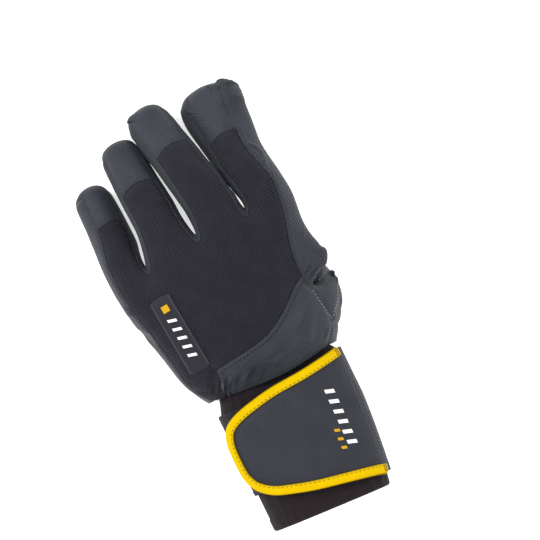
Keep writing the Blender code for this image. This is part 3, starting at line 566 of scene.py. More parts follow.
def add_finger(cage, root, root_map, start_v, rows, tip, panel_at, back_sides, cap_arc=0.0):
    """Grow a finger from a root loop of eight points; panel_at(row, side) names each quad's panel."""
    sections = finger_sections(rows, tip)
    centres = [Vector((s["x"], s["y"], s["z"])) for s in sections]
    root_centre = ring_centre(cage, root)
    starts = {"back": root_map["back"][CREST_CORNER][0], "wrap": root_map["wrap"][SOLE_CORNER][0]}
    end = centres[-3].lerp(Vector(tip), TIP_END)
    path = [root_centre] + centres + [end]
    v = start_v
    loop, loop_map = root, root_map
    for row, section in enumerate(sections):
        arc = cap_arc if row == CAP_SECTION else 0.0
        ring = cage.add_ring(section_ring(section, path[row + 2] - path[row], arc))
        v += (path[row + 1] - path[row]).length
        here_map = ring_map(cage, ring, starts, v)
        join_rings(cage, loop, ring, (loop_map, here_map), lambda side: panel_at(row, side), back_sides)
        loop, loop_map = ring, here_map
    centre = cage.add_ring([end])[0]
    v += (end - path[-2]).length
    last = len(sections)
    for side in (0, 2, 4, 6):
        chart = "back" if side in (0, 2) else "wrap"
        corners = ((side - 1) % 8, side, side + 1)
        places = [loop_map[chart][corner] for corner in corners] + [(starts[chart], v)]
        cage.add_quad(panel_at(last, side), [loop[corner] for corner in corners] + [centre], places)


def ring_centre(cage, ring):
    """Find the middle of a ring of points."""
    return sum((Vector(cage.points[number]) for number in ring), Vector()) / len(ring)


def finger_panel(number, row, side):
    """Name the panel of a finger's quad: sides 0 and 1 are its back, 4 and 5 its underside."""
    palm = "palm_ulnar" if number < 2 else "palm_radial"
    name = list(FINGERS)[number]
    last = len(FINGERS[name]) + len(TIP_RINGS)
    if row == last:
        return "tip_cap_" + name if side in (0, 2) else palm
    if side in (0, 1):
        return "tip_cap_" + name if row > CAP_SECTION else "back_panel"
    if side in (4, 5):
        return palm
    if row == last - 1 and side in (2, 7):
        return "tip_cap_" + name
    towards_thumb = side in (2, 3)
    if number == 3 and towards_thumb or number == 0 and not towards_thumb:
        return palm
    gap = number if towards_thumb else number - 1
    return ("fourchette_little_ring", "fourchette_ring_middle", "fourchette_middle_index")[gap]


def add_fingers(cage, rings):
    """Add the four fingers to the last palm section, with a shared point inside each web."""
    web = rings[-1]
    inner = []
    for column in WEB_COLUMNS:
        above = Vector(cage.points[web["back"][column]])
        below = Vector(cage.points[web["palm"][column]])
        inner.append(cage.add_ring([(above + below) / 2])[0])
    sides = [web["ulnar"]] + inner + [web["radial"]]
    for number, (name, rows) in enumerate(FINGERS.items()):
        first = 2 * number
        back = web["back"][first:first + 3]
        palm = web["palm"][first:first + 3]
        root = back + [sides[number + 1]] + palm[::-1] + [sides[number]]
        starts = {"back": cage.points[back[1]][0], "wrap": cage.points[palm[1]][0]}
        v = ring_centre(cage, root).y
        root_map = ring_map(cage, root, starts, v, use_palm=True)

        def panel_at(row, side, number=number):
            return finger_panel(number, row, side)

        tip = FINGER_TIPS_MM[name]
        add_finger(cage, root, root_map, v, rows, tip, panel_at, (0, 1), CAP_ARC_MM[name])


def add_thumb(cage, rings):
    """Add the thumb to the open block in the palm's thumb side."""
    first, last = THUMB_ROWS
    block = rings[first:last + 1]
    back = [ring["back"][-1] for ring in reversed(block)]
    palm = [ring["palm"][-1] for ring in block]
    root = back + [block[0]["radial"]] + palm + [block[-1]["radial"]]

    def panel_at(row, side):
        return "thumb_back" if side in THUMB_BACK_SIDES else "thumb_front"

    bend = cage.add_ring(THUMB_BEND)
    starts = {"back": 0.0, "wrap": 0.0}
    length = (ring_centre(cage, bend) - ring_centre(cage, root)).length
    maps = (ring_map(cage, root, starts, 0.0), ring_map(cage, bend, starts, length))
    join_rings(cage, root, bend, maps, lambda side: panel_at(0, side), THUMB_BACK_SIDES)
    add_finger(cage, bend, maps[1], length, THUMB_SECTIONS, THUMB_TIP_MM, panel_at, THUMB_BACK_SIDES)


def hand_cage():
    """Build the whole cage of the hand, without points that no quad uses."""
    cage = Cage()
    rings = add_palm(cage)
    add_fingers(cage, rings)
    add_thumb(cage, rings)
    used = sorted({number for quad in cage.quads for number in quad})
    renumber = {old: new for new, old in enumerate(used)}
    cage.points = [cage.points[number] for number in used]
    cage.quads = [tuple(renumber[number] for number in quad) for quad in cage.quads]
    return cage


class Skin:
    """The smoothed skin: points and normals, quads, each quad's panel, and its corners' map places."""

    def __init__(self, cage, levels):
        self.names = sorted(set(cage.panels))
        mesh = self.cage_mesh(cage)
        item = bpy.data.objects.new("cage", mesh)
        bpy.context.scene.collection.objects.link(item)
        subdivision = item.modifiers.new("smooth", "SUBSURF")
        subdivision.levels = levels
        subdivision.render_levels = levels
        graph = bpy.context.evaluated_depsgraph_get()
        smooth = bpy.data.meshes.new_from_object(item.evaluated_get(graph))
        self.read(smooth)
        bpy.data.objects.remove(item)
        bpy.data.meshes.remove(mesh)
        bpy.data.meshes.remove(smooth)

    def cage_mesh(self, cage):
        """Make the cage a mesh, with panel numbers and the flat map on its faces."""
        mesh = bpy.data.meshes.new("cage")
        mesh.from_pydata([Vector(point) for point in cage.points], [], cage.quads)
        panel = mesh.attributes.new("panel", "INT", "FACE")
        panel.data.foreach_set("value", [self.names.index(name) for name in cage.panels])
        layer = mesh.uv_layers.new(name=UV_NAME)
        layer.uv.foreach_set("vector", np.array(cage.maps, dtype=np.float32).ravel())
        return mesh

    def read(self, mesh):
        """Take the smoothed mesh apart into arrays."""
        points = np.zeros(len(mesh.vertices) * 3)
        mesh.vertices.foreach_get("co", points)
        self.points = points.reshape(-1, 3)
        self.points[:, 2] = np.maximum(self.points[:, 2], 0.0)
        corners = np.zeros(len(mesh.loops), dtype=np.int64)
        mesh.loops.foreach_get("vertex_index", corners)
        self.quads = corners.reshape(-1, 4)
        numbers = np.zeros(len(self.quads), dtype=np.int64)
        mesh.attributes["panel"].data.foreach_get("value", numbers)
        self.panel_numbers = numbers
        maps = np.zeros(len(mesh.loops) * 2)
        mesh.uv_layers[UV_NAME].uv.foreach_get("vector", maps)
        self.maps = maps.reshape(-1, 4, 2)
        self.normals = point_normals(self.points, self.quads)

    def quads_of(self, panel):
        """Say which quads belong to a panel."""
        return self.panel_numbers == self.names.index(panel)


def point_normals(points, quads):
    """Average the normals of the quads round each point."""
    face = np.cross(points[quads[:, 2]] - points[quads[:, 0]], points[quads[:, 3]] - points[quads[:, 1]])
    face /= np.maximum(np.linalg.norm(face, axis=1), 1e-12)[:, None]
    normals = np.zeros_like(points)
    for corner in range(4):
        np.add.at(normals, quads[:, corner], face)
    return normals / np.linalg.norm(normals, axis=1)[:, None]

def open_edges(quads):
    """List the directed edges that only one of these quads has."""
    edges = {(quad[i], quad[(i + 1) % 4]) for quad in quads for i in range(4)}
    return sorted((a, b) for a, b in edges if (b, a) not in edges)


def edge_insets(points, normals, edges):
    """Give each point on a panel's edge its step inwards, mitred where the edge turns."""
    inward = {}
    for a, b in edges:
        along = points[b] - points[a]
        for number in (a, b):
            step = np.cross(normals[number], along)
            inward.setdefault(number, []).append(step / max(np.linalg.norm(step), 1e-12))
    insets = {}
    for number, steps in inward.items():
        total = sum(steps)
        size = max(float(np.linalg.norm(total)), 1e-6)
        insets[number] = total / size * min(2 / size, LONGEST_MITRE)
    return insets


def wall_of(panel):
    """Find a panel's wall thickness from the first word of its name."""
    return next(WALL_MM[kind] for kind in WALL_MM if panel.startswith(kind))


def smooth_step(low, high, value):
    """Go smoothly from 0 at low to 1 at high."""
    share = np.clip((value - low) / (high - low), 0.0, 1.0)
    return share * share * (3 - 2 * share)


def tree_of(points):
    """Make a tree that finds the nearest of these points."""
    tree = KDTree(len(points))
    for number, point in enumerate(points):
        tree.insert(point, number)
    tree.balance()
    return tree


def distances_to(tree, points):
    """Measure each point's distance to the nearest point of a tree."""
    return np.array([tree.find(point)[2] for point in points])


class Seams:
    """Where the panels of the skin meet, as chains of point numbers."""

    def __init__(self, skin):
        self.skin = skin
        sides = {}
        for quad, panel in zip(skin.quads.tolist(), skin.panel_numbers.tolist()):
            for i in range(4):
                a, b = quad[i], quad[(i + 1) % 4]
                sides.setdefault((min(a, b), max(a, b)), []).append(panel)
        self.edges = {}
        for edge, panels in sides.items():
            if len(panels) == 2 and panels[0] != panels[1]:
                pair = tuple(sorted(skin.names[number] for number in panels))
                self.edges.setdefault(pair, []).append(edge)

    def sample(self, panel=None, quiet=None):
        """List points along every seam, or along one panel's own, or the quiet or the other ones."""
        found = []
        for pair, edges in self.edges.items():
            is_quiet = pair[0] in SIDE_PANELS and pair[1] not in ("back_panel", "saddle_panel")
            if (panel is None or panel in pair) and (quiet is None or quiet == is_quiet):
                found.append(self.edge_points(edges))
        return np.unique(np.vstack(found), axis=0)

    def pair_points(self, first, second):
        """List points along the seam between two panels."""
        return self.edge_points(self.edges[tuple(sorted((first, second)))])

    def edge_points(self, edges):
        """List the starts and middles of these edges."""
        ends = self.skin.points[np.array(edges)]
        return np.vstack((ends[:, 0], ends.mean(axis=1)))

    def chains(self, first, second):
        """Order the seam between two panels into chains of point numbers, longest first."""
        near = {}
        for a, b in self.edges.get(tuple(sorted((first, second))), []):
            near.setdefault(a, []).append(b)
            near.setdefault(b, []).append(a)
        left = set(near)
        found = []
        while left:
            ends = sorted(number for number in left if len([n for n in near[number] if n in left]) < 2)
            here = ends[0] if ends else min(left)
            chain = [here]
            left.discard(here)
            while True:
                following = sorted(n for n in near[chain[-1]] if n in left)
                if not following:
                    break
                chain.append(following[0])
                left.discard(following[0])
            found.append(chain)
        return sorted(found, key=len, reverse=True)


def make_piece(name, points, faces, slot, materials, uvs=None, values=None):
    """Make a piece of the glove from points in the hand's millimetres, riding the one body."""
    mesh = bpy.data.meshes.new(name)
    placed = (np.asarray(points, dtype=float) + ROW_SHIFT_MM) * MM
    mesh.from_pydata(placed.tolist(), [], [tuple(face) for face in faces])
    if uvs is not None:
        layer = mesh.uv_layers.new(name=UV_NAME)
        layer.uv.foreach_set("vector", np.asarray(uvs, dtype=np.float32).ravel())
    for value_name, numbers in (values or {}).items():
        attribute = mesh.attributes.new(value_name, "FLOAT", "POINT")
        attribute.data.foreach_set("value", np.asarray(numbers, dtype=np.float32))
    mesh.shade_smooth()
    mesh.set_sharp_from_angle(angle=math.radians(SHARP_DEG))
    mesh.materials.append(materials[slot])
    item = bpy.data.objects.new(name, mesh)
    bpy.context.scene.collection.objects.link(item)
    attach(item, "root")
    return item


def panel_faces(quads, edges, place, count):
    """List a panel's outer faces, inner faces and rim faces."""
    faces = [tuple(place[number] for number in quad) for quad in quads]
    faces += [tuple(place[number] + count for number in reversed(quad)) for quad in quads]
    for a, b in edges:
        faces.append((place[b], place[a], place[a] + count, place[b] + count))
    return faces


def panel_uvs(skin, chosen, edges, quads):
    """Give the flat map's places for every corner of a panel's faces, in the faces' order."""
    outer = skin.maps[chosen]
    corner = {}
    for quad, places in zip(quads, outer.tolist()):
        for number, place in zip(quad, places):
            corner.setdefault(number, place)
    rim = [[corner[b], corner[a], corner[a], corner[b]] for a, b in edges]
    return np.vstack((outer.reshape(-1, 2), outer[:, ::-1].reshape(-1, 2), np.array(rim).reshape(-1, 2)))


def add_panel(panel, skin, shaped, seams, materials):
    """Close one panel into a wall: its shaped outer skin, its smooth inner skin and the rim."""
    chosen = skin.quads_of(panel)
    quads = [tuple(quad) for quad in skin.quads[chosen].tolist()]
    edges = open_edges(quads)
    insets = edge_insets(skin.points, skin.normals, edges)
    used = sorted({number for quad in quads for number in quad})
    place = {number: index for index, number in enumerate(used)}
    from_seam = distances_to(tree_of(seams.sample(panel)), skin.points[used])
    outer = shaped[used] + np.array([insets.get(number, np.zeros(3)) for number in used]) * SEAM_GAP_MM
    height = ((shaped - skin.points)[used] * skin.normals[used]).sum(axis=1)
    wall = SEAM_DEPTH_MM + (wall_of(panel) - SEAM_DEPTH_MM) * smooth_step(0.0, SEAM_BLEND_MM, from_seam)
    wall = np.maximum(wall, THINNEST_WALL_MM - height)
    inner = skin.points[used] - skin.normals[used] * wall[:, None]
    count = len(used)
    faces = panel_faces(quads, edges, place, count)
    uvs = panel_uvs(skin, chosen, edges, quads)
    values = {"seam_mm": np.concatenate((from_seam, from_seam))}
    slot = panel_slot(panel)
    item = make_piece(panel + "_cover", np.vstack((outer, inner)), faces, slot, materials, uvs, values)
    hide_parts(panel)
    return item


def panel_slot(panel):
    """Choose a panel's material slot from its name."""
    if panel == "back_panel":
        return "rib_knit"
    if panel.startswith("fourchette"):
        return "side_cloth"
    if panel.startswith("palm") or panel == "thumb_front":
        return "dimpled_leather"
    return "grey_leather"


def soft_noise(points, size, depth):
    """Read smooth noise of this size at each point, from -depth to depth."""
    return np.array([noise.noise(Vector(point) / size) for point in points]) * depth


def from_picture(places):
    """Turn places in the photo's pixels into the hand's x and y."""
    places = np.asarray(places, dtype=float)
    scale = PICTURE_WIDTH_MM / PICTURE_PIXELS
    right = (places[..., 0] - PICTURE_PIXELS / 2) * scale
    up = (PICTURE_PIXELS / 2 - places[..., 1]) * scale
    turn = math.radians(PICTURE_TURN_DEG)
    x = right * math.cos(turn) + up * math.sin(turn) + PICTURE_MIDDLE_MM[0] - ROW_SHIFT_MM[0]
    y = up * math.cos(turn) - right * math.sin(turn) + PICTURE_MIDDLE_MM[1] - ROW_SHIFT_MM[1]
    return np.stack((x, y), axis=-1)


def lay_line(surface, line, step, way=-1.0):
    """Lay a flat line on a surface from above or below; return its points and the normals there."""
    curve = smooth_curve(np.asarray(line, dtype=float), 8)
    length = np.linalg.norm(np.diff(curve, axis=0), axis=1).sum()
    places, normals = [], []
    for x, y in evenly(curve, max(2, int(length / step) + 1)):
        place, normal, _, _ = surface.ray_cast(Vector((x, y, -200.0 * way)), Vector((0, 0, way)))
        if place is not None:
            places.append(place)
            normals.append(normal)
    return np.array(places), np.array(normals)


def crease(distance):
    """Give a sharp fold's section: steep at its middle, with a low bank on either side."""
    return np.exp(-1.3 * distance) - 0.35 * np.exp(-((distance - 1.7) / 0.6) ** 2)


def swell(distance):
    """Give a soft roll's section."""
    return np.exp(-distance ** 2)


def fold_height(points, folds, surface, way, profile, height):
    """Add the heights of a list of folds to the skin's heights."""
    for half_width, rise, fade, line in folds:
        spine, _ = lay_line(surface, line, FOLD_STEP_MM, way)
        if len(spine) < 2:
            continue
        reach = 2.6 * half_width
        low, high = spine.min(axis=0) - reach, spine.max(axis=0) + reach
        near = np.nonzero(((points > low) & (points < high)).all(axis=1))[0]
        if not len(near):
            continue
        away = np.linalg.norm(points[near, None] - spine[None], axis=2)
        nearest = away.argmin(axis=1)
        share = nearest / (len(spine) - 1)
        ends = smooth_step(0.0, fade, share) * smooth_step(0.0, fade, 1 - share) if fade else 1.0
        distance = away.min(axis=1) / half_width
        shape = profile(distance)
        height[near] += rise * ends * shape


def seam_profile(distance, groove, puff):
    """Sink the skin at a seam, and let it stand a little proud beside it."""
    sunk = -groove * np.exp(-(distance / GROOVE_WIDTH_MM) ** 2)
    beside = puff * smooth_step(0.5, PUFF_WIDTH_MM, distance)
    return sunk + beside


def shape_skin(skin, seams):
    """Move the skin's points for its seams, folds and unevenness; return the new points."""
    from_seam = distances_to(tree_of(seams.sample(quiet=False)), skin.points)
    from_quiet = distances_to(tree_of(seams.sample(quiet=True)), skin.points)
    height = np.minimum(seam_profile(from_seam, SEAM_GROOVE_MM, SEAM_PUFF_MM),
                        seam_profile(from_quiet, QUIET_GROOVE_MM, SEAM_PUFF_MM))
    for panel, other, place, half_width, rise in SEAM_BANDS:
        own = np.unique(skin.quads[skin.quads_of(panel)])
        away = distances_to(tree_of(seams.pair_points(panel, other)), skin.points[own])
        height[own] += rise * np.exp(-((away - place) / half_width) ** 2)
    height += soft_noise(skin.points, 18.0, 0.35)
    height += soft_noise(skin.points + 40.0, 6.0, 0.10)
    surface = BVHTree.FromPolygons(skin.points.tolist(), skin.quads.tolist())
    for table, profile in ((TOP_FOLDS, crease), (TOP_SWELLS, swell)):
        folds = [(width, rise, fade, from_picture(line)) for width, rise, fade, line in table]
        fold_height(skin.points, folds, surface, -1.0, profile, height)
    fold_height(skin.points, UNDER_FOLDS, surface, 1.0, crease, height)
    shaped = skin.points + skin.normals * height[:, None]
    shaped[:, 2] = np.maximum(shaped[:, 2], 0.0)
    return shaped


class Threads:
    """Collects tubes and stitches that lie on a surface, to be joined into one piece."""

    def __init__(self):
        self.points = []
        self.faces = []
        self.uvs = []

    def add_rings(self, rings, v_step=0.3):
        """Join rings of points with quads, and close both ends."""
        start = sum(len(points) for points in self.points)
        sides = len(rings[0])
        for number, ring in enumerate(rings):
            self.points.append(np.asarray(ring))
        for number in range(len(rings) - 1):
            for side in range(sides):
                after = (side + 1) % sides
                low, high = start + number * sides, start + (number + 1) * sides
                self.faces.append((low + side, low + after, high + after, high + side))
                u, v = side * TUBE_SIDE_MM, number * v_step
                self.uvs += [(u, v), (u + TUBE_SIDE_MM, v), (u + TUBE_SIDE_MM, v + v_step), (u, v + v_step)]
        last = start + (len(rings) - 1) * sides
        self.faces.append(tuple(start + side for side in range(sides - 1, -1, -1)))
        self.faces.append(tuple(last + side for side in range(sides)))
        self.uvs += [(0.0, 0.0)] * (2 * sides)

    def add_tube(self, line, normals, radius, flatness=1.0, sides=8):
        """Sweep a round or flattened section along a line, thinner towards both ends."""
        along = np.gradient(line, axis=0)
        along /= np.maximum(np.linalg.norm(along, axis=1), 1e-9)[:, None]
        across = np.cross(normals, along)
        across /= np.maximum(np.linalg.norm(across, axis=1), 1e-9)[:, None]
        upward = np.cross(along, across)
        angles = np.arange(sides) * 2 * math.pi / sides
        count = len(line)
        ends = np.minimum(np.arange(count), np.arange(count)[::-1])
        thick = radius * np.clip(0.35 + 0.35 * ends, 0.0, 1.0)
        rings = []
        for place, side, up, size in zip(line, across, upward, thick):
            ring = [place + side * math.cos(a) * size + up * math.sin(a) * size * flatness for a in angles]
            rings.append(np.array(ring))
        self.add_rings(rings)

    def add_stitches(self, line, normals, length, gap, thickness):
        """Lay short rounded stitches end to end along a line."""
        steps = np.linalg.norm(np.diff(line, axis=0), axis=1)
        lengths = np.concatenate(([0.0], np.cumsum(steps)))
        start = gap / 2
        while start + length < lengths[-1]:
            spots = start + length * np.array((0.0, 0.12, 0.5, 0.88, 1.0))
            lift = thickness * np.array((-0.35, 0.15, 0.30, 0.15, -0.35))
            size = thickness * np.array((0.25, 0.46, 0.5, 0.46, 0.25))
            points = np.stack([np.interp(spots, lengths, line[:, i]) for i in range(3)], axis=-1)
            ups = np.stack([np.interp(spots, lengths, normals[:, i]) for i in range(3)], axis=-1)
            points += ups * lift[:, None]
            along = points[-1] - points[0]
            along /= max(np.linalg.norm(along), 1e-9)
            rings = []
            for place, up, radius in zip(points, ups, size):
                across = np.cross(up, along)
                across /= max(np.linalg.norm(across), 1e-9)
                level = np.cross(along, across)
                turns = np.arange(6) * math.pi / 3
                rings.append([place + across * math.cos(t) * radius + level * math.sin(t) * radius
                              for t in turns])
            self.add_rings(rings, length / 4)
            start += length + gap

    def finish(self, name, slot, materials):
        """Make the piece."""
        return make_piece(name, np.vstack(self.points), self.faces, slot, materials, self.uvs)


def seam_line(seams, shaped, chain, inset=0.0, side_of=None):
    """Give a seam chain's shaped points and normals, moved sideways on the surface by an inset."""
    skin = seams.skin
    line = shaped[chain]
    normals = skin.normals[chain]
    if inset:
        along = np.gradient(line, axis=0)
        across = np.cross(normals, along)
        across /= np.maximum(np.linalg.norm(across, axis=1), 1e-9)[:, None]
        line = line + across * inset
    return line, normals


def towards(seams, chain, panel):
    """Say on which side of a chain a panel lies, as 1 or -1 for the chain's own left or right."""
    skin = seams.skin
    middle = len(chain) // 2
    here, after = chain[middle - 1], chain[middle]
    along = skin.points[after] - skin.points[here]
    across = np.cross(skin.normals[here], along)
    own = skin.quads[skin.quads_of(panel)]
    touching = own[(own == here).any(axis=1)]
    inward = skin.points[touching].mean(axis=(0, 1)) - skin.points[here]
    return 1.0 if float(np.dot(inward, across)) > 0 else -1.0


def add_lips(seams, shaped, materials):
    """Add the rolled lips beside the seams of the knit back."""
    roll = Threads()
    for panel, radius, inset in SEAM_LIPS:
        for chain in seams.chains("back_panel", panel):
            if len(chain) < SHORTEST_CHAIN:
                continue
            side = towards(seams, chain, panel)
            line, normals = seam_line(seams, shaped, chain, side * inset)
            roll.add_tube(line + normals * radius * 0.35, normals, radius)
    roll.finish("seam_lips", "grey_leather", materials)


def add_seam_stitches(seams, shaped, materials):
    """Add the lines of stitches that run beside seams."""
    for name, slot, panel, other, inset, length, gap, thickness in SEAM_STITCHES:
        thread_piece = Threads()
        for chain in seams.chains(panel, other):
            if len(chain) < SHORTEST_CHAIN:
                continue
            line, normals = seam_line(seams, shaped, chain, towards(seams, chain, panel) * inset)
            thread_piece.add_stitches(line, normals, length, gap, thickness)
        thread_piece.finish(name, slot, materials)


def add_stitch_lines(table, surface, materials):
    """Add lines of stitches that are given in the photo's pixels."""
    for name, slot, length, gap, thickness, line in table:
        places, normals = lay_line(surface, from_picture(line), 0.5)
        thread_piece = Threads()
        thread_piece.add_stitches(places, normals, length, gap, thickness)
        thread_piece.finish(name, slot, materials)


def add_bars(table, surface, materials):
    """Add plain slanted bars of print that lie on a surface."""
    for name, slot, (middle, half_width, half_length), turn, slant in table:
        across = math.radians(turn)
        skew = math.tan(math.radians(slant))
        s, t = np.meshgrid(np.linspace(-1, 1, BAR_GRID), np.linspace(-1, 1, BAR_GRID))
        right = s * half_width
        down = t * half_length + right * skew
        pixels = np.stack((middle[0] + right * math.cos(across) + down * math.sin(across),
                           middle[1] - right * math.sin(across) + down * math.cos(across)), axis=-1)
        flat = from_picture(pixels)
        lower = np.array([[drop(surface, place, -0.1) for place in row] for row in flat])
        upper = np.array([[drop(surface, place, BAR_THICK_MM) for place in row] for row in flat])
        sheet_piece(name, lower[:, ::-1], upper[:, ::-1], slot, materials, flat[:, ::-1])


def drop(surface, place, lift):
    """Drop a point of the flat picture onto a surface and lift it off again."""
    spot, normal, _, _ = surface.ray_cast(Vector((place[0], place[1], 150.0)), Vector((0, 0, -1)))
    return spot + normal * lift


def superellipse(angle, half_width, half_height):
    """Give points of a rounded rectangle at angles in degrees from +X towards +Z."""
    angle = np.radians(angle)
    power = 2 / CUFF_SQUARENESS
    x = np.sign(np.cos(angle)) * np.abs(np.cos(angle)) ** power * half_width
    z = np.sign(np.sin(angle)) * np.abs(np.sin(angle)) ** power * half_height
    return x, z


def cuff_points(y, angle, grow=0.0):
    """Give points on the cuff's outer face, or grown outwards."""
    rows = sorted(CUFF_SECTIONS)
    columns = [np.interp(y, [row[0] for row in rows], [row[i] for row in rows]) for i in range(1, 6)]
    skew, middle, half_width, half_height, z_middle = columns
    x, z = superellipse(angle, half_width + grow, half_height + grow)
    z = np.maximum(z_middle + z, -grow)
    return np.stack((middle + x, y - skew * x / half_width, z), axis=-1)


def grid_faces(rows, columns, close_rows=False, close_columns=False):
    """List the quads of a grid of points, row by row, joined end to end where asked."""
    faces = []
    for r in range(rows if close_rows else rows - 1):
        for c in range(columns if close_columns else columns - 1):
            here, after = r * columns, (r + 1) % rows * columns
            across = (c + 1) % columns
            faces.append((here + c, here + across, after + across, after + c))
    return faces


def face_uvs(faces, uv_of):
    """Repeat each point's place on the flat map at every corner of these faces."""
    return np.array([uv_of[number] for face in faces for number in face])


def add_cuff(materials):
    """Make the knitted cuff: a tube whose wall turns back at both ends."""
    top, bottom = CUFF_SECTIONS[0][0], CUFF_SECTIONS[-1][0]
    outer = np.linspace(top, bottom, CUFF_ROWS)
    path = [(y, 0.0) for y in outer]
    for turn in (45, 90, 135):
        depth = CUFF_WALL_MM / 2 * (1 - math.cos(math.radians(turn)))
        path.append((bottom - CUFF_WALL_MM / 2 * math.sin(math.radians(turn)), -depth))
    path += [(y, -CUFF_WALL_MM) for y in np.linspace(bottom, top, CUFF_ROWS // 4)]
    angles = np.arange(CUFF_SIDES) * 360 / CUFF_SIDES
    girth = 2 * math.pi * CUFF_MEAN_RADIUS_MM
    points, places = [], []
    for y, grow in path:
        ring = cuff_points(y, angles, grow)
        outside = grow > -CUFF_WALL_MM
        ring = cuff_points(y, angles, grow + cuff_relief(y, angles) * outside)
        ring[:, 2] = np.maximum(ring[:, 2], 0.0)
        points.append(ring)
        places.append(np.stack((angles / 360 * girth, np.full(len(angles), y)), axis=-1))
    points, places = np.vstack(points), np.vstack(places)
    faces = grid_faces(len(path), CUFF_SIDES, close_rows=True, close_columns=True)
    item = make_piece("cuff_knit_tube", points, faces, "cuff_knit", materials, face_uvs(faces, places))
    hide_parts("cuff")
    return item


def cuff_relief(y, angles):
    """Raise the gathers, the hem and the soft bulge beside the thumb."""
    gathers = np.array([noise.noise(Vector((angle / 9.0, y / 60.0, 3.0))) for angle in angles])
    hem = 0.5 if y < CUFF_SECTIONS[-1][0] + CUFF_HEM_MM else 0.0
    turned = np.radians(angles - CUFF_BULGE["angle"])
    beside = np.maximum(np.cos(turned), 0.0) ** 6
    along = math.exp(-((y - CUFF_BULGE["y"]) / CUFF_BULGE["half"]) ** 2)
    bulge = CUFF_BULGE["rise"] * beside * along
    return 0.7 * gathers * np.abs(np.sin(np.radians(angles))) ** 0.2 + hem + bulge


def sheet_piece(name, lower, upper, slot, materials, places):
    """Close a sheet between two grids of points, each of rows by columns by three."""
    rows, columns = lower.shape[:2]
    count = rows * columns
    grid = grid_faces(rows, columns)
    faces = [tuple(reversed(face)) for face in grid]
    faces += [tuple(number + count for number in face) for face in grid]
    around = list(range(columns))
    around += [(r + 1) * columns - 1 for r in range(1, rows)]
    around += [(rows - 1) * columns + c for c in range(columns - 2, -1, -1)]
    around += [r * columns for r in range(rows - 2, 0, -1)]
    for a, b in zip(around, around[1:] + around[:1]):
        faces.append((a, b, b + count, a + count))
    points = np.vstack((lower.reshape(-1, 3), upper.reshape(-1, 3)))
    flat = np.vstack((places.reshape(-1, 2), places.reshape(-1, 2)))
    return make_piece(name, points, faces, slot, materials, face_uvs(faces, flat))


def add_loop_patch(materials):
    """Make the hook-and-loop patch that wraps over the ulnar side of the cuff."""
    angles = np.linspace(LOOP_PATCH["angle_from"], LOOP_PATCH["angle_to"], LOOP_COLUMNS)
    heights = np.linspace(LOOP_PATCH["y_top"], LOOP_PATCH["y_bottom"], LOOP_ROWS)
    y, angle = np.meshgrid(heights, angles, indexing="ij")
    lower = cuff_points(y.ravel(), angle.ravel(), CLEARANCE_MM)
    tufts = np.array([noise.noise(Vector((a / 3.0, b / 1.8, 7.0))) for a, b in zip(angle.ravel(), y.ravel())])
    upper = cuff_points(y.ravel(), angle.ravel(), CLEARANCE_MM + LOOP_PATCH["thick"] + TUFT_MM * tufts)
    shape = y.shape + (3,)
    places = np.stack((-angle * 0.6, y), axis=-1)
    piece = sheet_piece("loop_patch_pile", lower.reshape(shape), upper.reshape(shape), "hook_loop",
                        materials, places)
    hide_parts("loop_patch")
    return piece


def strap_section(angle):
    """Give x and z on the tube that the strap's middle surface follows."""
    x, z = superellipse(angle, STRAP_TUBE["half_width"], STRAP_TUBE["half_height"])
    return np.stack((STRAP_TUBE["x"] + x, STRAP_TUBE["z"] + z), axis=-1)


def strap_arcs():
    """Measure the tube's girth at each whole degree, from 0 at the top, growing to the thumb side."""
    angles = np.arange(175, -46, -1)
    steps = np.linalg.norm(np.diff(strap_section(angles), axis=0), axis=1)
    arcs = np.concatenate(([0.0], np.cumsum(steps)))
    return arcs - np.interp(-90, -angles, arcs), angles


STRAP_ARCS, STRAP_ANGLES = strap_arcs()


def strap_points(arc, y, lift):
    """Place points of the strap: arc and y run along its face, lift stands out from it."""
    span = STRAP_TAPER["start_y"] - STRAP_TAPER["end_y"]
    taper = np.clip((STRAP_TAPER["start_y"] - y) / span, 0, 1.1)
    narrowing = STRAP_TAPER["width"] * taper ** 1.3 / 2
    angle = np.interp(arc, STRAP_ARCS, STRAP_ANGLES)
    here = strap_section(angle)
    along = strap_section(angle - 1) - strap_section(angle + 1)
    along /= np.linalg.norm(along, axis=-1)[..., None]
    x = here[..., 0] - along[..., 1] * lift
    z = here[..., 1] + along[..., 0] * lift
    centre = STRAP_TUBE["x"]
    x = centre - narrowing + (x - centre) * (1 - narrowing / STRAP_TUBE["half_width"])
    return np.stack((x, y + 0 * z, z), axis=-1)


def arc_at_x(x):
    """Find the place along the strap that lies at this x on its upper half."""
    upper = STRAP_ANGLES[(STRAP_ANGLES >= 0)]
    angle = np.interp(x, strap_section(upper)[:, 0], upper)
    return float(np.interp(-angle, -STRAP_ANGLES, STRAP_ARCS))


def smooth_curve(points, steps):
    """Read a Catmull-Rom curve through points, with this many steps in each stretch."""
    padded = np.vstack((2 * points[0] - points[1], points, 2 * points[-1] - points[-2]))
    before, start, end, after = (padded[i:len(padded) - 3 + i, None] for i in range(4))
    t = (np.arange(steps) / steps)[None, :, None]
    curve = 0.5 * (
        2 * start + (end - before) * t
        + (2 * before - 5 * start + 4 * end - after) * t * t
        + (3 * start - before - 3 * end + after) * t ** 3
    )
    return np.vstack((curve.reshape(-1, points.shape[1]), points[-1]))


def evenly(curve, count):
    """Read a curve again at this many even stations."""
    lengths = np.concatenate(([0.0], np.cumsum(np.linalg.norm(np.diff(curve, axis=0), axis=1))))
    even = np.linspace(0, lengths[-1], count)
    return np.stack([np.interp(even, lengths, curve[:, i]) for i in range(curve.shape[1])], axis=-1)


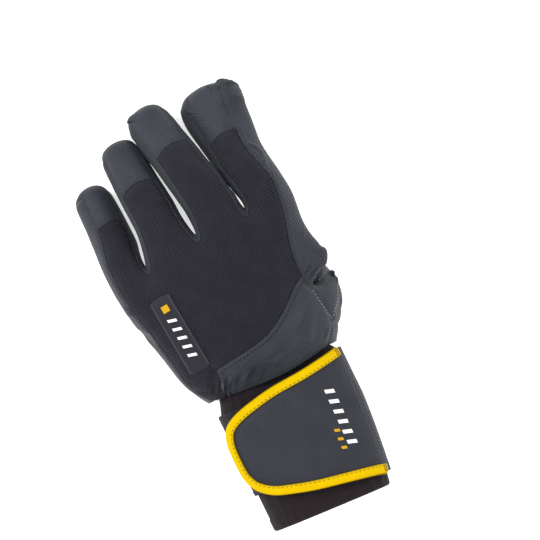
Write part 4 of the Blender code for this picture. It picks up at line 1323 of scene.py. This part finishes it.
def strap_contour():
    """Give the strap's outer edge in arc and y, from the thumb side round the tongue and back."""
    top = [(arc_at_x(x), y) for x, y, _ in STRAP_OUTLINE]
    bottom = [(arc_at_x(x), y) for x, _, y in STRAP_OUTLINE]
    return evenly(smooth_curve(np.array(top + bottom[::-1]), 12), STRAP_STATIONS)


def inward_steps(contour):
    """Give each point of the contour its unit step into the strap."""
    along = np.gradient(contour, axis=0)
    along /= np.linalg.norm(along, axis=1)[:, None]
    return np.stack((-along[:, 1], along[:, 0]), axis=-1)


def add_strap_binding(materials):
    """Make the tape folded round the strap's edge, a swept channel section."""
    contour = strap_contour()
    steps = inward_steps(contour)
    section = BINDING_SECTION_MM + tuple((depth, -lift) for depth, lift in BINDING_SECTION_MM[::-1])
    leg = STRAP_THICK_MM / 2 + CLEARANCE_MM
    section += ((BINDING_WIDTH_MM, -leg), (BINDING_TAPE_MM, -leg), (BINDING_TAPE_MM, leg))
    section += ((BINDING_WIDTH_MM, leg),)
    length = np.concatenate(([0.0], np.cumsum(np.linalg.norm(np.diff(contour, axis=0), axis=1))))
    points, places = [], []
    girth = 0.0
    for number, (depth, lift) in enumerate(section):
        girth += math.dist(section[number - 1], (depth, lift)) if number else 0.0
        spot = contour + steps * depth
        points.append(strap_points(spot[:, 0], spot[:, 1], lift))
        places.append(np.stack((length, np.full(len(length), girth)), axis=-1))
    rows, columns = len(section), len(contour)
    faces = [tuple(reversed(face)) for face in grid_faces(rows, columns, close_rows=True)]
    faces.append(tuple(r * columns for r in range(rows)))
    faces.append(tuple(r * columns + columns - 1 for r in range(rows - 1, -1, -1)))
    uvs = face_uvs(faces, np.vstack(places))
    item = make_piece("binding_tape_edge", np.vstack(points), faces, "binding_tape", materials, uvs)
    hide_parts("strap_binding")
    return item


def add_strap(materials):
    """Make the strap's face, from inside the binding round the thumb side of the cuff."""
    contour = strap_contour()
    edge = contour + inward_steps(contour) * (BINDING_TAPE_MM + CLEARANCE_MM)
    half = len(edge) // 2
    upper_edge, lower_edge = edge[:half], edge[:-half - 1:-1]
    end_arc = float(np.interp(-STRAP_SIDE_ANGLE, -STRAP_ANGLES, STRAP_ARCS))
    reach = np.linspace(end_arc, contour[0][0], STRAP_SIDE_COLUMNS, endpoint=False)[:, None]
    upper_edge = np.vstack((np.hstack((reach, np.full_like(reach, edge[0][1]))), upper_edge))
    lower_edge = np.vstack((np.hstack((reach, np.full_like(reach, edge[-1][1]))), lower_edge))
    share = np.linspace(0, 1, STRAP_ROWS)[None, :, None]
    flat = lower_edge[:, None] * (1 - share) + upper_edge[:, None] * share
    arc, y = flat[..., 0], flat[..., 1]
    inside = distances_to(tree_of([Vector((a, b, 0)) for a, b in contour]),
                          [Vector((a, b, 0)) for a, b in flat.reshape(-1, 2)]).reshape(arc.shape)
    puff = STRAP_PUFF_MM * smooth_step(BINDING_WIDTH_MM - 1.0, BINDING_WIDTH_MM + 4.0, inside)
    lower = strap_points(arc, y, -STRAP_THICK_MM / 2)
    upper = strap_points(arc, y, STRAP_THICK_MM / 2 + puff)
    item = sheet_piece("strap_face", lower, upper, "strap_cloth", materials, flat)
    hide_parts("strap")
    rows, columns = upper.shape[:2]
    return BVHTree.FromPolygons(upper.reshape(-1, 3).tolist(), grid_faces(rows, columns))


def add_tape_threads(materials):
    """Add the stitches along the tape, and the two tacks across each of its ends."""
    contour = strap_contour()
    steps = inward_steps(contour)
    spot = contour + steps * TAPE_STITCHES["depth"]
    line = strap_points(spot[:, 0], spot[:, 1], TAPE_STITCHES["lift"])
    normals = strap_points(spot[:, 0], spot[:, 1], TAPE_STITCHES["lift"] + 1.0) - line
    threads = Threads()
    threads.add_stitches(line, normals, TAPE_STITCHES["length"], TAPE_STITCHES["gap"], TAPE_STITCHES["thick"])
    lengths = np.concatenate(([0.0], np.cumsum(np.linalg.norm(np.diff(contour, axis=0), axis=1))))
    for inset in TAPE_TACKS_MM:
        for place in (inset, lengths[-1] - inset):
            middle = np.array([np.interp(place, lengths, contour[:, i]) for i in range(2)])
            inward = np.array([np.interp(place, lengths, steps[:, i]) for i in range(2)])
            across = middle + np.linspace(0.8, BINDING_WIDTH_MM - 0.5, 12)[:, None] * inward
            tack = strap_points(across[:, 0], across[:, 1], TAPE_STITCHES["lift"])
            upward = strap_points(across[:, 0], across[:, 1], TAPE_STITCHES["lift"] + 1.0) - tack
            threads.add_tube(tack, upward, TACK_RADIUS_MM)
    threads.finish("tape_threads", "amber_thread", materials)


def label_place(surface, across, along, lift):
    """Drop a point of the label onto the glove's surface and lift it off again."""
    turn = math.radians(LABEL["turn"])
    x = LABEL["x"] + across * math.cos(turn) - along * math.sin(turn)
    y = LABEL["y"] + across * math.sin(turn) + along * math.cos(turn)
    place, normal, _, _ = surface.ray_cast(Vector((x, y, 150)), Vector((0, 0, -1)))
    return place + normal * lift


def add_label(surface, materials):
    """Make the plain raised patch with rounded corners, and return its upper face for the slanted bars."""
    half_width, half_length = LABEL["width"] / 2, LABEL["length"] / 2
    lower, upper, places = [], [], []
    for t in np.linspace(-1, 1, LABEL_ROWS):
        along = half_length * t
        cut = LABEL["round"] * max(0.0, 1 - (half_length - abs(along)) / LABEL["round"]) ** 2
        low_row, high_row, place_row = [], [], []
        for s in np.linspace(-1, 1, LABEL_COLUMNS):
            across = s * (half_width - cut)
            edge = min(half_width * (1 - abs(s)), half_length * (1 - abs(t)))
            lift = LABEL["thick"] * (0.45 + 0.55 * float(smooth_step(0.0, 0.9, edge)))
            low_row.append(label_place(surface, across, along, 0.1))
            high_row.append(label_place(surface, across, along, 0.1 + lift))
            place_row.append((across, along))
        lower.append(low_row)
        upper.append(high_row)
        places.append(place_row)
    item = sheet_piece("label_plate", np.array(lower), np.array(upper), "patch_rubber", materials,
                       np.array(places))
    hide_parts("label_patch")
    return BVHTree.FromPolygons(np.array(upper).reshape(-1, 3).tolist(), grid_faces(LABEL_ROWS, LABEL_COLUMNS))


class Finish:
    """One Principled material, built node by node. Lengths in its patterns are in millimetres."""

    def __init__(self, name, colour, roughness, specular=0.5, sheen=0.0):
        self.name = name
        self.colour = colour
        self.material = bpy.data.materials.new(name)
        self.material.use_nodes = True
        self.tree = self.material.node_tree
        self.shader = self.tree.nodes["Principled BSDF"]
        self.shader.inputs["Base Color"].default_value = (*colour, 1.0)
        self.shader.inputs["Roughness"].default_value = roughness
        self.shader.inputs["Specular IOR Level"].default_value = specular
        self.shader.inputs["Sheen Weight"].default_value = sheen
        self.shader.inputs["Sheen Roughness"].default_value = 0.6
        flat = self.node("UVMap", uv_map=UV_NAME)
        self.flat = flat.outputs["UV"]
        split = self.node("SeparateXYZ")
        self.tree.links.new(self.flat, split.inputs[0])
        self.u, self.v = split.outputs[0], split.outputs[1]

    def node(self, kind, **settings):
        """Add a node with these settings."""
        item = self.tree.nodes.new("ShaderNode" + kind)
        for name, value in settings.items():
            setattr(item, name, value)
        return item

    def put(self, socket, value):
        """Link a socket or set its value."""
        if isinstance(value, bpy.types.NodeSocket):
            self.tree.links.new(value, socket)
        else:
            socket.default_value = value

    def math(self, operation, first, second=0.0):
        """Work out a number from one or two others."""
        item = self.node("Math", operation=operation)
        self.put(item.inputs[0], first)
        self.put(item.inputs[1], second)
        item.inputs[2].default_value = 0.5
        return item.outputs[0]

    def range(self, value, low, high, new_low=0.0, new_high=1.0):
        """Move a number from one range to another, and keep it there."""
        item = self.node("MapRange")
        for socket, number in zip(item.inputs, (value, low, high, new_low, new_high)):
            self.put(socket, number)
        return item.outputs[0]

    def noise(self, size, detail=2.0, vector=None):
        """Read noise with patches of this size in millimetres, from 0 to 1."""
        item = self.node("TexNoise")
        self.put(item.inputs["Vector"], vector or self.flat)
        item.inputs["Scale"].default_value = 1 / size
        item.inputs["Detail"].default_value = detail
        return item.outputs[0]

    def wave(self, place, pitch):
        """Read a round wave of this pitch along one direction, from 0 to 1."""
        turn = self.math("MULTIPLY", place, 2 * math.pi / pitch)
        return self.math("MULTIPLY_ADD", self.math("COSINE", turn), 0.5)

    def paint(self, darker, lighter, share):
        """Colour the surface between two shades of its own colour."""
        item = self.node("Mix", data_type="RGBA")
        self.put(item.inputs["Factor"], share)
        colours = [socket for socket in item.inputs if socket.type == "RGBA"]
        for socket, shade in zip(colours, (darker, lighter)):
            socket.default_value = (*[min(1.0, value * shade) for value in self.colour], 1.0)
        output = next(socket for socket in item.outputs if socket.type == "RGBA")
        self.put(self.shader.inputs["Base Color"], output)
        return output

    def raise_by(self, height, depth_mm):
        """Let a height from 0 to 1 stand out by a depth in millimetres."""
        item = self.node("Bump")
        item.inputs["Strength"].default_value = 1.0
        item.inputs["Distance"].default_value = depth_mm * MM
        self.put(item.inputs["Height"], height)
        self.put(self.shader.inputs["Normal"], item.outputs[0])


def rib_knit():
    """Fine ribs across the hand, crossed by the stitches of the knit."""
    made = Finish("rib_knit", (0.0134, 0.0126, 0.0194), 0.9, 0.12, 0.04)
    sway = made.math("MULTIPLY", made.noise(14.0), 1.3)
    rib = made.wave(made.math("ADD", made.v, sway), RIB_PITCH_MM)
    slant = made.math("ADD", made.u, made.math("MULTIPLY", made.v, RIB_SLANT))
    loops = made.wave(slant, LOOP_PITCH_MM)
    height = made.math("ADD", made.math("MULTIPLY", rib, 0.65), made.math("MULTIPLY", loops, 0.35))
    patches = made.math("MULTIPLY", made.noise(9.0, 3.0), 0.5)
    shade = made.math("ADD", made.math("MULTIPLY", height, 1.40), patches)
    made.paint(0.03, 2.0, made.math("SUBTRACT", shade, 0.42))
    made.raise_by(height, 0.36)
    return made


def embossed(name, colour, roughness, pitch, depth, contrast=0.55, specular=0.25):
    """Synthetic leather with a small grid of bumps on the slant, and slow changes of shade."""
    made = Finish(name, colour, roughness, specular)
    right = made.math("MULTIPLY", made.math("ADD", made.u, made.v), math.sqrt(0.5))
    left = made.math("MULTIPLY", made.math("SUBTRACT", made.u, made.v), math.sqrt(0.5))
    grain = made.math("MULTIPLY", made.wave(right, pitch), made.wave(left, pitch))
    fine = made.noise(0.5, 2.0)
    height = made.math("ADD", made.math("MULTIPLY", grain, 0.85), made.math("MULTIPLY", fine, 0.15))
    slow = made.noise(16.0, 3.0)
    shade = made.math("ADD", made.math("MULTIPLY", height, 0.6), made.math("MULTIPLY", slow, 0.6))
    made.paint(1 - contrast, 1 + contrast, shade)
    made.raise_by(height, depth)
    return made


def cuff_knit():
    """Elastic knit with fine ribs along the arm."""
    made = Finish("cuff_knit", (0.0140, 0.0095, 0.0120), 0.95, 0.12, 0.05)
    sway = made.math("MULTIPLY", made.noise(10.0), 0.8)
    rib = made.wave(made.math("ADD", made.u, sway), 1.1)
    loops = made.wave(made.v, 0.8)
    height = made.math("ADD", made.math("MULTIPLY", rib, 0.5), made.math("MULTIPLY", loops, 0.5))
    made.paint(0.72, 1.34, made.math("ADD", made.math("MULTIPLY", height, 0.5),
                                     made.math("MULTIPLY", made.noise(8.0), 0.5)))
    made.raise_by(height, 0.18)
    return made


def side_cloth():
    """Plain dark cloth between the fingers."""
    made = Finish("side_cloth", (0.0205, 0.0240, 0.0310), 0.7, 0.22, 0.03)
    threads = made.math("MULTIPLY", made.wave(made.u, 0.7), made.wave(made.v, 0.7))
    made.paint(0.7, 1.3, made.math("ADD", made.math("MULTIPLY", threads, 0.5),
                                   made.math("MULTIPLY", made.noise(7.0), 0.5)))
    made.raise_by(threads, 0.12)
    return made


def hook_loop():
    """Pile of small loops."""
    made = Finish("hook_loop", (0.016, 0.016, 0.020), 1.0, 0.1, 0.10)
    pile = made.noise(0.45, 4.0)
    made.paint(0.45, 1.6, pile)
    made.raise_by(pile, 0.5)
    return made


def binding_tape():
    """Bright woven tape with fine cross threads, with painted shade along both its edges."""
    made = Finish("binding_tape", (0.640, 0.420, 0.0005), 0.7, 0.03)
    threads = made.math("MULTIPLY", made.wave(made.u, 0.55), made.wave(made.v, 0.8))
    shade = made.math("ADD", made.math("MULTIPLY", threads, 0.4), made.math("MULTIPLY", made.noise(5.0), 0.6))
    # Painted shade: a dark shadow line along the tape's inner edge, and darker round its outer fold and on its
    # underside.
    folds = made.math("MULTIPLY", made.range(made.v, 0.05, 0.75), made.range(made.v, 4.9, 5.7, 1.0, 0.2))
    shade = made.math("MULTIPLY", made.math("ADD", shade, 1.6), folds)
    made.paint(0.22, 1.10, made.math("MULTIPLY", shade, 0.45))
    made.raise_by(threads, 0.08)
    return made


def patch_rubber():
    """Matte rubber with a very fine grain."""
    made = Finish("patch_rubber", (0.0146, 0.0138, 0.0196), 0.60, 0.20)
    grain = made.noise(0.35, 3.0)
    from_middle = made.math("ABSOLUTE", made.u)
    half = LABEL["width"] / 2
    inner = made.range(from_middle, half - 1.3, half - 0.9)
    outer = made.range(from_middle, half - 0.7, half - 0.4, 1.0, 0.0)
    rim = made.math("MULTIPLY", inner, outer)
    made.paint(0.85, 2.6, made.math("MAXIMUM", made.math("MULTIPLY", made.noise(6.0), 0.2), rim))
    made.raise_by(grain, 0.06)
    return made


def thread(name, colour):
    """Twisted sewing thread."""
    made = Finish(name, colour, 0.6, 0.3, 0.1)
    twist = made.wave(made.math("ADD", made.u, made.v), 0.35)
    made.paint(0.75, 1.15, twist)
    made.raise_by(twist, 0.05)
    return made


def print_film(name, colour):
    """Slightly glossy print with a little unevenness."""
    made = Finish(name, colour, 0.5, 0.15)
    made.paint(0.90, 1.08, made.noise(1.5, 3.0))
    made.raise_by(made.noise(0.4), 0.03)
    return made


def build_materials():
    """Make every material and give it by the name that the pieces use."""
    made = [
        rib_knit(),
        embossed("grey_leather", (0.0226, 0.0266, 0.0352), 0.55, 1.30, 0.26, 0.75),
        embossed("dimpled_leather", (0.0225, 0.0262, 0.0342), 0.55, 1.90, 0.40, 0.60),
        embossed("strap_cloth", (0.0235, 0.0252, 0.0335), 0.60, 1.30, 0.15, 0.42, 0.20),
        side_cloth(), cuff_knit(), hook_loop(), binding_tape(), patch_rubber(),
        thread("dark_thread", (0.050, 0.056, 0.064)),
        thread("pale_thread", (0.30, 0.30, 0.29)),
        thread("amber_thread", (0.16, 0.075, 0.004)),
        print_film("amber_print", (0.54, 0.30, 0.003)),
        print_film("light_print", (0.80, 0.80, 0.80)),
    ]
    return {finish.name: finish.material for finish in made}


def add_camera():
    """Set the camera straight over the glove, far away, turned as in the photo."""
    lens = bpy.data.cameras.new("camera")
    lens.sensor_width = 36.0
    lens.lens = lens.sensor_width * CAMERA_HEIGHT_MM / PICTURE_WIDTH_MM
    lens.clip_end = 50.0
    camera = bpy.data.objects.new("camera", lens)
    x, y, z = PICTURE_MIDDLE_MM
    camera.location = Vector((x, y, z + CAMERA_HEIGHT_MM)) * MM
    camera.rotation_euler = (0.0, 0.0, -math.radians(PICTURE_TURN_DEG))
    bpy.context.scene.collection.objects.link(camera)
    bpy.context.scene.camera = camera


def add_light(name, place, size, power):
    """Set a soft square light that looks at the glove."""
    light = bpy.data.lights.new(name, "AREA")
    light.size = size
    light.energy = power
    item = bpy.data.objects.new(name, light)
    item.location = place
    item.rotation_euler = (Vector(place) * -1).to_track_quat("-Z", "Y").to_euler()
    bpy.context.scene.collection.objects.link(item)


def add_studio():
    """Make the pale floor, the white surroundings and the lights."""
    bpy.ops.mesh.primitive_plane_add(size=6.0, location=(0, 0, -0.0002))
    floor = bpy.context.object
    floor.name = "floor"
    material = bpy.data.materials.new("floor")
    material.use_nodes = True
    shader = material.node_tree.nodes["Principled BSDF"]
    shader.inputs["Base Color"].default_value = (0.92, 0.92, 0.92, 1)
    shader.inputs["Roughness"].default_value = 0.9
    shader.inputs["Emission Color"].default_value = (1, 1, 1, 1)
    shader.inputs["Emission Strength"].default_value = FLOOR_GLOW
    floor.data.materials.append(material)
    world = bpy.data.worlds.new("studio")
    bpy.context.scene.world = world
    world.use_nodes = True
    world.node_tree.nodes["Background"].inputs["Color"].default_value = (1, 1, 1, 1)
    world.node_tree.nodes["Background"].inputs["Strength"].default_value = WORLD_STRENGTH
    for light in LIGHTS:
        add_light(*light)
    bpy.context.scene.view_settings.view_transform = "Standard"


def main():
    """Dress the frame."""
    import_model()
    materials = build_materials()
    cage = hand_cage()
    skin = Skin(cage, SKIN_LEVELS)
    seams = Seams(skin)
    shaped = shape_skin(skin, seams)
    for panel in skin.names:
        add_panel(panel, skin, shaped, seams, materials)
    surface = BVHTree.FromPolygons(shaped.tolist(), skin.quads.tolist())
    add_cuff(materials)
    add_loop_patch(materials)
    strap_surface = add_strap(materials)
    add_strap_binding(materials)
    add_tape_threads(materials)
    label_surface = add_label(surface, materials)
    add_lips(seams, shaped, materials)
    add_seam_stitches(seams, shaped, materials)
    add_stitch_lines(TOP_STITCHES, surface, materials)
    add_stitch_lines(STRAP_STITCHES, strap_surface, materials)
    add_bars(LABEL_BARS, label_surface, materials)
    add_bars(STRAP_BARS, strap_surface, materials)
    add_camera()
    add_studio()


main()
